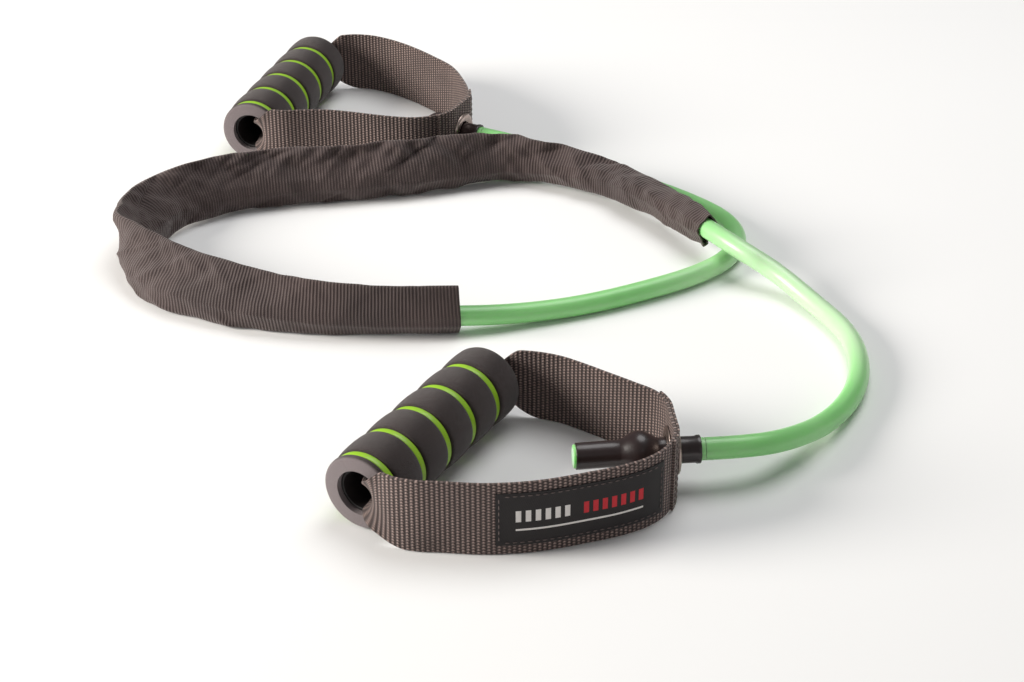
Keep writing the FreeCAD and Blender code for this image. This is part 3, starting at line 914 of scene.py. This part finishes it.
    def cloth_spot(self, line: Trail, distance: float, share: float) -> Vector:
        """A point of the sleeve's cloth.

        Args:
            line: The tube's middle line.
            distance: How far along the sleeve.
            share: Share of the way round.

        Returns:
            The point.
        """
        along = self.stations[0][0] / 1000 + distance
        millimetres = along * 1000
        point, _, outward = line.frame(along * (line.length / self.length), 0.006)
        lean, upper, lower = self.shapes.at(millimetres)
        last = self.stations[-1][0]
        wavy = 1 if millimetres < self.calm else max(0.0, (last - millimetres) / (last - self.calm))
        upper += wavy * 1.6 * noise.noise(Vector((millimetres / 26, 3.3, 0.0)))
        lower += wavy * 1.4 * noise.noise(Vector((millimetres / 19, 8.8, 0.0)))
        lean += wavy * 4.0 * noise.noise(Vector((millimetres / 40, 1.3, 5.0)))
        angle = math.radians(lean)
        rise = outward * math.sin(angle) + Vector((0, 0, math.cos(angle)))
        side = outward * math.cos(angle) - Vector((0, 0, math.sin(angle)))
        face = 1.0 if share < 0.5 else -1.0
        turn = (share if share < 0.5 else 1 - share) * 2
        eased = 0.35 * turn + 0.65 * (0.5 - 0.5 * math.cos(math.pi * turn))
        height = (-lower + (upper + lower) * eased) / 1000
        reach = (upper if height > 0 else lower) / 1000
        core = 0.42 * self.belly
        width = self.belly
        if abs(height) > core:
            left = 1 - (abs(height) - core) / (reach - core)
            width = self.fold + (self.belly - self.fold) * max(left, 0.0) ** 1.25
        near_fold = reach - abs(height)
        if near_fold < self.fold_round:
            width *= math.sqrt(max(0.0, 1 - (1 - near_fold / self.fold_round) ** 2))
        loose = self.crumple(millimetres, height * 1000, face) * min(near_fold / 0.004, 1.0)
        width += max(loose, -0.0009) if abs(height) < 0.006 else loose
        clear = math.sqrt(max((TUBE_RADIUS + 0.0007) ** 2 - height ** 2, 0.0))
        width = max(width, clear, 0.0002 if 0 < near_fold else 0.0)
        if turn in (0.0, 1.0):
            width = 0.0
        place = point + rise * height + side * (face * width + self.sway(millimetres, height * 1000))
        place.z = max(place.z, 0.0006)
        return place

    def make_sleeve(self, line: Trail) -> None:
        """Roll the sleeve's cloth round the tube.

        Args:
            line: The tube's middle line.
        """
        length = self.stations[-1][0] / 1000 - self.stations[0][0] / 1000
        bm = lofted(length, self.columns, self.around, partial(self.cloth_spot, line),
                    lambda share: share * SLEEVE_FLAT[0], capped=False)
        bmesh.ops.solidify(bm, geom=bm.faces, thickness=self.wall)
        sleeve = self.bench.place(bm, "woven_sleeve", self.finishes.sleeve, "band", "sleeve_cloth",
                                  ["protective_sleeve"], sharp=75.0)


@dataclass
class TubeEnd:
    """The plugged end of the tube in its collar, where it goes through the eyelet."""

    side: Side
    place: Matrix
    bench: Workbench
    finishes: Finishes
    sag: float
    inside: float = 0.045
    outside: float = 0.0165
    collar_outside: float = 0.0142
    tip: float = 0.0012
    bulge: float = -0.015
    bulge_reach: float = 0.0092
    bulge_height: float = 0.0038
    collar_bore: float = 0.00558
    collar_wall: float = 0.00085

    def swell(self, along: float) -> float:
        """How far the tube swells over its plug.

        Args:
            along: Place along the tube.

        Returns:
            The swelling.
        """
        share = abs(along - self.bulge) / self.bulge_reach
        return 0.0 if share >= 1 else self.bulge_height * (0.5 + 0.5 * math.cos(math.pi * share)) ** 0.62

    def swollen(self, radius: float) -> list[tuple[float, float]]:
        """Points of a surface that swells over the plug.

        Args:
            radius: Its plain radius.

        Returns:
            Points along and out.
        """
        places = [self.bulge + self.bulge_reach * (i / 12 - 1) for i in range(25)]
        return [(along, radius + self.swell(along)) for along in places]

    def droop(self, bm: bmesh.types.BMesh) -> bmesh.types.BMesh:
        """Let the free end hang a little under its own weight and put it in its place.

        Args:
            bm: A shape round the X axis.

        Returns:
            The same shape.
        """
        for cut in range(1, 12):
            bmesh.ops.bisect_plane(bm, geom=bm.verts[:] + bm.edges[:] + bm.faces[:], dist=1e-6,
                                   plane_co=(-0.004 * cut, 0, 0), plane_no=(1, 0, 0))
        for vert in bm.verts:
            free = max(-vert.co.x - 0.004, 0.0) / 0.042
            vert.co.z -= self.sag * free ** 1.7
        bmesh.ops.transform(bm, matrix=self.place, verts=bm.verts)
        return bm

    def build(self) -> None:
        """Make the collar, the tube's end and its plug."""
        name = self.side.value
        outer = self.collar_bore + self.collar_wall
        start, stop = -self.inside, self.outside
        rim = self.collar_outside
        lip = rim - 0.0026
        collar = [(start, self.collar_bore), (start, outer)] + self.swollen(outer)
        collar += [(lip, outer), (lip + 0.0008, outer + 0.0004), (rim, outer + 0.0004),
                   (rim, self.collar_bore)]
        collar += self.swollen(self.collar_bore)[::-1]
        bm = self.droop(turned(collar, Matrix.Identity(4), soften=0.0003))
        self.bench.place(bm, f"{name}_rubber_collar", self.finishes.rubber, "band", "collar_rubber",
                         [f"{name}_collar"])

        tip = start - self.tip
        bore = 0.0025
        end = [(tip + 0.0006, 0.0), (tip + 0.0005, bore), (tip, bore + 0.0006), (tip, TUBE_RADIUS + 0.0002)]
        end += self.swollen(TUBE_RADIUS - 0.00004)
        end += [(stop - 0.0002, TUBE_RADIUS - 0.00004), (stop - 0.0002, bore)]
        end += [(self.bulge + 0.0085, bore), (self.bulge + 0.0074, 0.0034), (self.bulge + 0.0053, 0.0061),
                (self.bulge + 0.0023, 0.0072), (self.bulge - 0.0023, 0.0072), (self.bulge - 0.0053, 0.0061),
                (self.bulge - 0.0074, 0.0034), (self.bulge - 0.0085, bore), (self.bulge - 0.0086, 0.0)]
        bm = turned(end, Matrix.Identity(4), closed=False, soften=0.0005,
                    keep=lambda along, radius: along < tip + 0.001)
        # Mark the closed end of the tube, which is painted pale as if lit through the latex.
        mark = bm.verts.layers.float.new("painted_light_face")
        for vert in bm.verts:
            vert[mark] = 1.0 if vert.co.x < tip + 0.0007 and math.hypot(vert.co.y, vert.co.z) < 0.005 else 0.0
        bm = self.droop(bm)
        self.bench.place(bm, f"{name}_tube_tip", self.finishes.latex, "band", "latex", [f"{name}_tube_end"])

        plug = [(self.bulge - 0.0073, 0.0), (self.bulge - 0.0073, 0.0032), (self.bulge - 0.0052, 0.006),
                (self.bulge - 0.0022, 0.0071), (self.bulge + 0.0022, 0.0071), (self.bulge + 0.0052, 0.006),
                (self.bulge + 0.0073, 0.0032), (self.bulge + 0.0073, 0.0)]
        bm = self.droop(turned(plug, Matrix.Identity(4), closed=False, steps=48, soften=0.0004))
        self.bench.place(bm, f"{name}_plug_barrel", self.finishes.plug, "band", "plug", [f"{name}_plug"])


# ---------------------------------------------------------------- grips
@dataclass
class Grip:
    """A foam grip with green rings in its grooves and a plastic core."""

    side: Side
    place: Matrix
    bench: Workbench
    finishes: Finishes
    length: float = 0.116
    radius: float = 0.0195
    crown: float = 0.0007
    groove: float = 0.0024
    ring_width: float = 0.004
    ring_pitch: float = 0.0226
    first_ring: float = 0.0055
    rings: int = 5
    bore: float = 0.01158
    core_inner: float = 0.0099
    recess: float = 0.003

    def build(self) -> None:
        """Make the foam, the rings and the core."""
        self.make_foam()
        self.make_rings()
        self.make_core()

    def segment(self, begin: float, end: float) -> list[tuple[float, float]]:
        """The crowned outside of one stretch of foam.

        Args:
            begin: Where it starts.
            end: Where it ends.

        Returns:
            Points along and out.
        """
        edge = self.radius - self.crown
        count = 8
        return [(begin + (end - begin) * i / count, edge + self.crown * math.sin(math.pi * i / count) ** 0.7)
                for i in range(count + 1)]

    def make_foam(self) -> None:
        """Turn the foam, round its edges and mark its end faces for painted light."""
        edge = self.radius - self.crown
        floor = edge - self.groove
        half = self.ring_width / 2
        line = [(0.0, self.bore), (0.0, edge - 0.0002), (self.first_ring - half, edge)]
        for i in range(self.rings):
            begin = self.first_ring + i * self.ring_pitch - half
            end = begin + self.ring_width
            line += [(begin, floor), (end, floor)]
            last = i == self.rings - 1
            line += self.segment(end, self.length if last else begin + self.ring_pitch)
        line[-1] = (self.length, self.radius - 0.0012)
        line.append((self.length, self.bore))
        bm = turned(line, Matrix.Identity(4), steps=96, soften=0.0011,
                    keep=lambda along, radius: radius > floor + 0.0005)
        # Mark the ends for painted light: 1 on the flat faces, 0.45 on the rounded rims as a painted highlight.
        mark = bm.verts.layers.float.new("painted_light_face")
        for vert in bm.verts:
            out = math.hypot(vert.co.y, vert.co.z)
            if vert.co.x < 0.0008 or vert.co.x > self.length - 0.0002:
                vert[mark] = 1.0 if out < edge - 0.0004 else 0.45
        bmesh.ops.transform(bm, matrix=self.place, verts=bm.verts)
        name = self.side.value
        foam = self.bench.place(bm, f"{name}_foam", self.finishes.foam, f"{name}_grip", "grip_foam",
                                [f"{name}_grip_foam"], sharp=50.0)

    def make_rings(self) -> None:
        """Turn the rings that lie in the grooves."""
        name = self.side.value
        low = self.radius - self.crown - self.groove + 0.00008
        high = self.radius - self.crown - 0.0007
        width = self.ring_width / 2 - 0.00008
        for i in range(self.rings):
            middle = self.first_ring + i * self.ring_pitch
            first, last = middle - width, middle + width
            line = [(first, low), (first, high), (last, high), (last, low)]
            bm = turned(line, self.place, steps=96, soften=0.0006)
            self.bench.place(bm, f"{name}_ring_{i + 1}", self.finishes.ring, f"{name}_grip", "ring_plastic",
                             [f"{name}_grip_ring_{i + 1}"])

    def make_core(self) -> None:
        """Turn the plastic tube in the foam."""
        name = self.side.value
        start, stop = self.recess, self.length - self.recess
        outer = self.bore - 0.00008
        line = [(start, self.core_inner), (start, outer), (stop, outer), (stop, self.core_inner)]
        bm = turned(line, self.place, soften=0.0004)
        self.bench.place(bm, f"{name}_core", self.finishes.core, f"{name}_grip", "grip_core",
                         [f"{name}_grip_core"])


# ---------------------------------------------------------------- webbing handles
@dataclass
class Handle:
    """A webbing loop through a grip, its patch, label, stitching and eyelet."""

    side: Side
    spot: tuple[float, float]
    turn: float
    eyelet: tuple[float, float, float]
    eyelet_turn: float
    back: list[tuple[float, float, float]]
    front: list[tuple[float, float, float]]
    label_on: int
    bench: Workbench
    finishes: Finishes
    grip_length: float = 116.0
    curl_radius: float = 8.4
    width: float = 0.038
    thickness: float = 0.0016
    curl_run: float = 0.020
    curl_depth: float = 0.040
    mouth_curl: float = 72.0
    early_opening: float = 1.2
    patch_reach: float = 0.022
    patch_thickness: float = 0.0012
    label_size: tuple[float, float] = (0.028, 0.082)
    label_start: float = 0.031
    label_thickness: float = 0.0005
    gap: float = 0.00008
    rim: float = 0.012
    hole: float = 0.0069
    stitch_pitch: float = 0.0034
    stitch_shape: tuple[float, float, float] = (0.00115, 0.0003, 0.00028)
    loose_threads: int = 34

    def __post_init__(self) -> None:
        """Work out the webbing's line."""
        middle = self.flat_point(*self.eyelet)
        angle = math.radians(self.eyelet_turn)
        level = self.direction(math.cos(angle), math.sin(angle))
        self.outward = self.direction(-math.sin(angle), math.cos(angle))
        self.middle = middle
        curl = self.curl_radius
        points = [middle, middle + level * 0.006, middle + level * 0.011]
        points += [self.flat_point(*point) for point in self.back]
        points += [self.flat_point(1, 2.4, curl + 2)]
        points += [self.flat_point(1, along, curl) for along in (-1, -6, -12)]
        points += [self.flat_point(share / 6, 0, curl) for share in range(5, 0, -1)]
        points += [self.flat_point(0, along, curl) for along in (12, 6, 1)]
        points += [self.flat_point(0, -2.4, curl + 2)]
        points += [self.flat_point(*point) for point in self.front]
        points += [middle - level * 0.011, middle - level * 0.006, middle]
        places = [0.0]
        for a, b in zip(points, points[1:]):
            places.append(places[-1] + (b - a).length)
        line = SmoothLine(places, [tuple(point) for point in points])
        self.trail = Trail([Vector(line.at(places[-1] * i / 900)) for i in range(901)])
        self.bore = self.bore_span()

    def direction(self, along: float, across: float) -> Vector:
        """A level direction given along and across the grip.

        Args:
            along: Share along the grip.
            across: Share across it.

        Returns:
            The direction in the object's frame.
        """
        angle = math.radians(self.turn)
        return Vector((math.cos(angle) * along + math.sin(angle) * across,
                       math.sin(angle) * along - math.cos(angle) * across, 0.0))

    def flat_point(self, share: float, along: float, across: float) -> Vector:
        """A point at the axis height.

        Args:
            share: Share of the grip's length.
            along: Millimetres further along it.
            across: Millimetres across it.

        Returns:
            The point.
        """
        step = self.direction(share * self.grip_length + along, across)
        return Vector(((self.spot[0] + step.x) / 1000, (self.spot[1] + step.y) / 1000, AXIS_HEIGHT))

    def grip_place(self) -> Matrix:
        """Where the grip's first end stands, its length along X."""
        return (Matrix.Translation((self.spot[0] / 1000, self.spot[1] / 1000, AXIS_HEIGHT))
                @ Matrix.Rotation(math.radians(self.turn), 4, "Z"))

    def eyelet_place(self) -> Matrix:
        """Where the eyelet stands, its axis along X."""
        return (Matrix.Translation(self.middle)
                @ Matrix.Rotation(math.atan2(self.outward.y, self.outward.x), 4, "Z"))

    def bore_span(self) -> tuple[float, float]:
        """Find where the webbing is in the grip.

        Returns:
            The distances along it where it goes in and comes out.
        """
        inside = []
        start = self.flat_point(0, 0, 0)
        along, across = self.direction(1, 0), self.direction(0, 1)
        for point, mark in zip(self.trail.points, self.trail.marks):
            offset = point - start
            beside = offset.dot(across) < self.curl_radius / 1000 + 0.001
            if beside and 0 < offset.dot(along) < self.grip_length / 1000:
                inside.append(mark)
        return inside[0], inside[-1]

    def curl(self, distance: float, upper: bool) -> tuple[float, float]:
        """How tightly the webbing is curled at a distance.

        Args:
            distance: Along its line.
            upper: Whether its upper half is asked for, which opens sooner.

        Returns:
            The radius and the half angle.
        """
        half, curl = self.width / 2, self.curl_radius / 1000
        outside = max(self.bore[0] - distance, distance - self.bore[1])
        if upper and outside > 0:
            outside *= 1 + self.early_opening * min(outside / 0.004, 1.0)
        mouth = math.radians(self.mouth_curl)
        if outside <= 0:
            tight = min(-outside / self.curl_depth, 1.0)
            return curl, mouth + (half / curl - mouth) * tight
        left = 1 - min(outside / self.curl_run, 0.98)
        height = curl + (half - curl) * (1 - left ** 1.6)
        sag = curl * (1 - math.cos(mouth)) * left ** 2.2
        return (height ** 2 + sag ** 2) / (2 * sag), 2 * math.atan2(sag, height)

    def on_webbing(self, distance: float, across: float, out: float) -> Vector:
        """A point on or beside the webbing.

        Args:
            distance: Along its line.
            across: Up from its middle.
            out: Out of its middle surface, to the outside of the loop.

        Returns:
            The point.
        """
        distance = distance % self.trail.length
        point, _, outward = self.trail.frame(distance)
        radius, half_angle = self.curl(distance, across > 0)
        angle = across / (self.width / 2) * half_angle
        middle = point + outward * radius
        return (middle - outward * ((radius - out) * math.cos(angle))
                + Vector((0, 0, (radius - out) * math.sin(angle))))

    def strip(self, begin: float, end: float, width: float, thickness: float, out: float, columns: int,
              joined: bool = False) -> bmesh.types.BMesh:
        """A strip of cloth that follows the webbing.

        Args:
            begin: Where it starts along the webbing.
            end: Where it ends.
            width: Its width.
            thickness: Its thickness.
            out: How far its middle stands out of the webbing's.
            columns: Faces along it.
            joined: Whether it closes on itself.

        Returns:
            The shape.
        """
        def spot(distance: float, share: float) -> Vector:
            """A point of the strip's outline.

            Args:
                distance: How far along the strip.
                share: Share of the way round.

            Returns:
                The point.
            """
            across, lift = ribbon_edge(share, width, thickness)
            place = self.on_webbing(begin + distance, across, out + lift)
            place.z = max(place.z, 0.0004)
            return place

        def girth(share: float) -> float:
            """Distance across for the map."""
            return ribbon_edge(share, width, thickness)[0]

        return lofted(end - begin, columns, 40, spot, girth, capped=not joined)

    def build(self) -> None:
        """Make the webbing and all that is sewn or set on it."""
        name = self.side.value
        body = f"{name}_handle"
        length = self.trail.length
        bm = self.strip(0.0, length, self.width, self.thickness, 0.0, 260, joined=True)
        strap = self.bench.place(bm, f"{name}_webbing", self.finishes.webbing, body, "webbing",
                                 [f"{name}_strap"], sharp=60.0)

        out = self.thickness / 2 + self.gap + self.patch_thickness / 2
        bm = self.strip(-self.patch_reach, self.patch_reach, self.width + 0.0008, self.patch_thickness, out, 40)
        patch = self.bench.place(bm, f"{name}_doubling", self.finishes.webbing, body, "webbing",
                                 [f"{name}_strap_patch"], sharp=60.0)
        patch_face = out + self.patch_thickness / 2

        middle = self.label_start + self.label_size[1] / 2
        middle = middle if self.label_on > 0 else length - middle
        begin, end = middle - self.label_size[1] / 2, middle + self.label_size[1] / 2
        out = self.thickness / 2 + self.gap + self.label_thickness / 2
        bm = self.strip(begin, end, self.label_size[0], self.label_thickness, out, 60)
        label = self.bench.place(bm, f"{name}_sewn_label", self.finishes.label, body, "label",
                                 [f"{name}_label"], sharp=60.0)
        self.make_stitches(begin, end, out + self.label_thickness / 2, patch_face)
        self.make_loose_threads(patch_face)
        self.make_eyelet()

    def make_stitches(self, begin: float, end: float, label_face: float, patch_face: float) -> None:
        """Sew the label and the patch.

        Args:
            begin: Where the label starts.
            end: Where it ends.
            label_face: How far out the label's face is.
            patch_face: How far out the patch's face is.
        """
        bm = bmesh.new()
        spots: list[tuple[float, float, float, bool]] = []
        pitch = self.stitch_pitch
        rows = int((self.width - 0.004) / pitch)
        for distance in (-self.patch_reach + 0.0025, -self.patch_reach + 0.006, self.patch_reach - 0.006,
                         self.patch_reach - 0.0025):
            spots += [(distance, (i - (rows - 1) / 2) * pitch, patch_face, True) for i in range(rows)]
        rows = int((self.label_size[0] - 0.003) / pitch)
        for distance in (begin + 0.0015, end - 0.0015):
            spots += [(distance, (i - (rows - 1) / 2) * pitch, label_face, True) for i in range(rows)]
        count = int((end - begin - 0.004) / pitch)
        for i in range(count):
            distance = (begin + end) / 2 + (i - (count - 1) / 2) * pitch
            spots += [(distance, row * (self.label_size[0] / 2 - 0.0015), label_face, False) for row in (-1, 1)]
        for distance, across, out, upright in spots:
            place = self.on_webbing(distance, across, out + 0.0001)
            _, direction, outward = self.trail.frame(distance % self.trail.length)
            run = Vector((0, 0, 1)) if upright else direction
            other = run.cross(outward)
            turn = Matrix((run, other, outward)).transposed().to_4x4()
            shape = Matrix.Diagonal((*self.stitch_shape, 1.0))
            bmesh.ops.create_uvsphere(bm, u_segments=8, v_segments=6, radius=1.0,
                                      matrix=Matrix.Translation(place) @ turn @ shape)
        name = self.side.value
        self.bench.place(bm, f"{name}_stitches", self.finishes.thread, f"{name}_handle", "thread",
                         [f"{name}_stitching"], sharp=80.0)

    def make_loose_threads(self, face: float) -> None:
        """Fray the cut ends of the patch with short thin threads.

        Args:
            face: How far out the patch's face is.
        """
        bm = bmesh.new()
        for number in range(self.loose_threads):
            end = -1 if number % 2 else 1
            start = end * (self.patch_reach - 0.0002)
            across = (number / (self.loose_threads - 1) - 0.5) * 0.97 * self.width
            length = 0.0012 + 0.0022 * (0.5 + noise.noise(Vector((number * 3.7, 0.4, end * 2.0))))
            drift = 0.0018 * noise.noise(Vector((number * 1.9, 6.1, 0.7)))
            low = self.on_webbing(start, across, face - 0.0006)
            high = self.on_webbing(start + end * length, across + drift, face + 0.0002 + abs(drift) * 0.5)
            run = (high - low).normalized()
            turn = Vector((0, 0, 1)).rotation_difference(run).to_matrix().to_4x4()
            bmesh.ops.create_cone(bm, cap_ends=True, cap_tris=False, segments=6, radius1=0.00017,
                                  radius2=0.00009, depth=(high - low).length,
                                  matrix=Matrix.Translation((low + high) / 2) @ turn)
        name = self.side.value
        self.bench.place(bm, f"{name}_loose_threads", self.finishes.thread, f"{name}_handle", "thread",
                         sharp=80.0)

    def make_eyelet(self) -> None:
        """Turn the eyelet and the washer that it is set on."""
        name = self.side.value
        place = self.eyelet_place()
        barrel = self.hole + 0.0006
        rim = self.rim
        face = 0.0024
        shell = [(-0.0023, self.hole), (face + 0.0009, self.hole), (face + 0.0016, self.hole + 0.0012),
                 (face + 0.0017, self.hole + 0.0026), (face + 0.0012, rim - 0.0008), (face + 0.0002, rim),
                 (face - 0.0002, rim - 0.0003), (face, barrel), (-0.0023, barrel)]
        bm = turned(shell, place, steps=72, soften=0.00025)
        self.bench.place(bm, f"{name}_eyelet_ring", self.finishes.metal, f"{name}_handle", "eyelet_metal",
                         [f"{name}_eyelet"])
        inner = barrel + 0.0001
        washer = [(-0.0011, inner), (-0.0011, rim - 0.0002), (-0.0015, rim), (-0.002, rim - 0.0008),
                  (-0.0023, rim - 0.0025), (-0.002, inner)]
        bm = turned(washer, place, steps=72, soften=0.0002)
        self.bench.place(bm, f"{name}_washer", self.finishes.metal, f"{name}_handle", "eyelet_metal",
                         [f"{name}_eyelet_washer"])


# ---------------------------------------------------------------- the studio
@dataclass
class Studio:
    """Floor, soft lights and camera."""

    eye: tuple[float, float, float] = (0.0515, -1.058, 0.569)
    pitch: float = 30.0
    lens: float = 75.34
    sensor: float = 36.0

    def build(self) -> None:
        """Set up the studio."""
        self.make_camera()
        self.make_floor()
        self.make_lights()

    def make_camera(self) -> None:
        """Stand the camera."""
        camera = bpy.data.cameras.new("camera")
        camera.lens = self.lens
        camera.sensor_width = self.sensor
        camera.clip_start = 0.05
        eye = bpy.data.objects.new("camera", camera)
        eye.location = self.eye
        eye.rotation_euler = (math.radians(90 - self.pitch), 0.0, 0.0)
        bpy.context.scene.collection.objects.link(eye)
        bpy.context.scene.camera = eye

    def make_floor(self) -> None:
        """Lay a plain pale floor."""
        bm = bmesh.new()
        bmesh.ops.create_grid(bm, x_segments=4, y_segments=4, size=6.0)
        mesh = bpy.data.meshes.new("floor")
        bm.to_mesh(mesh)
        bm.free()
        bench = Bench("pale_floor")
        grain = bench.grain(3.0, 2.0)
        mesh.materials.append(bench.finish({
            "Base Color": bench.blend(grain, (0.93, 0.93, 0.93), (0.95, 0.95, 0.95)), "Roughness": 0.95,
            "Specular IOR Level": 0.1}))
        floor = bpy.data.objects.new("floor", mesh)
        bpy.context.scene.collection.objects.link(floor)

    def make_lights(self) -> None:
        """Hang soft lights and light the room."""
        for name, spot, aim, size, power in (
                ("key", (-1.9, -0.3, 0.78), (0.0, 0.0, 0.0), 0.9, 62.0),
                ("fill", (0.9, -1.5, 0.8), (0.05, 0.0, 0.0), 1.0, 1.2),
                ("top", (0.4, 0.5, 1.6), (0.05, 0.05, 0.0), 1.3, 15.0)):
            data = bpy.data.lights.new(name, "AREA")
            data.shape = "DISK"
            data.size = size
            data.energy = power
            data.color = (1.0, 0.96, 0.9) if name == "key" else (1.0, 1.0, 1.0)
            lamp = bpy.data.objects.new(name, data)
            lamp.location = spot
            lamp.rotation_euler = (Vector(spot) - Vector(aim)).to_track_quat("Z", "Y").to_euler()
            bpy.context.scene.collection.objects.link(lamp)
        world = bpy.data.worlds.new("room")
        world.use_nodes = True
        world.node_tree.nodes["Background"].inputs[0].default_value = (1.0, 1.0, 1.0, 1.0)
        world.node_tree.nodes["Background"].inputs[1].default_value = 0.2
        bpy.context.scene.world = world
        bpy.context.scene.view_settings.view_transform = "Standard"


HANDLES: dict[Side, dict[str, Any]] = {
    Side.NEAR: {
        "spot": (-18.7, -245.6), "turn": 60.1, "eyelet": (0, 103.6, 107.4), "eyelet_turn": -35.0,
        "back": [(1, 3.5, 92), (1, 6.2, 77), (1, 8, 62), (1, 9.6, 48), (1, 10.2, 36), (1, 8.4, 25),
                 (1, 4.6, 15)],
        "front": [(0, -3.6, 14.5), (0, -4.4, 21), (0, -2.8, 30), (0, 2.4, 41.5), (0, 12, 61.5), (0, 25, 79.5),
                  (0, 41, 95), (0, 57, 108.2), (0, 67, 114), (0, 79, 117)],
        "label_on": -1,
    },
    Side.FAR: {
        "spot": (-109.4, 150.9), "turn": 73.84, "eyelet": (0, 37.3, 122.9), "eyelet_turn": 10.0,
        "back": [(0.5, -0.6, 122.2), (0.5, 15.6, 113.6), (1, -24.5, 100.5), (1, -12, 84), (1, -3, 70),
                 (1, 4, 56.5), (1, 8.5, 44), (1, 10.2, 32.5), (1, 8.4, 22), (1, 4.4, 14.5)],
        "front": [(0, -3.6, 14.5), (0, -3.4, 22), (0, 0.8, 34), (0, 5, 48), (0, 6.2, 62), (0, 6.3, 76),
                  (0, 6.8, 90), (0, 9, 103), (0, 16, 114.5)],
        "label_on": 1,
    },
}


def main() -> None:
    """Build the band, both handles and the studio."""
    logging.basicConfig(level=logging.INFO, format="%(message)s")
    bench = Workbench()
    finishes = Finishes()
    Studio().build()
    Band(bench, finishes).build()
    for side, facts in HANDLES.items():
        handle = Handle(side=side, bench=bench, finishes=finishes, **facts)
        handle.build()
        Grip(side, handle.grip_place(), bench, finishes).build()
        TubeEnd(side, handle.eyelet_place(), bench, finishes, FAR_SAG if side is Side.FAR else NEAR_SAG).build()
    LOG.info("pieces: %d", len(bench.made))


if __name__ == "__main__":
    main()
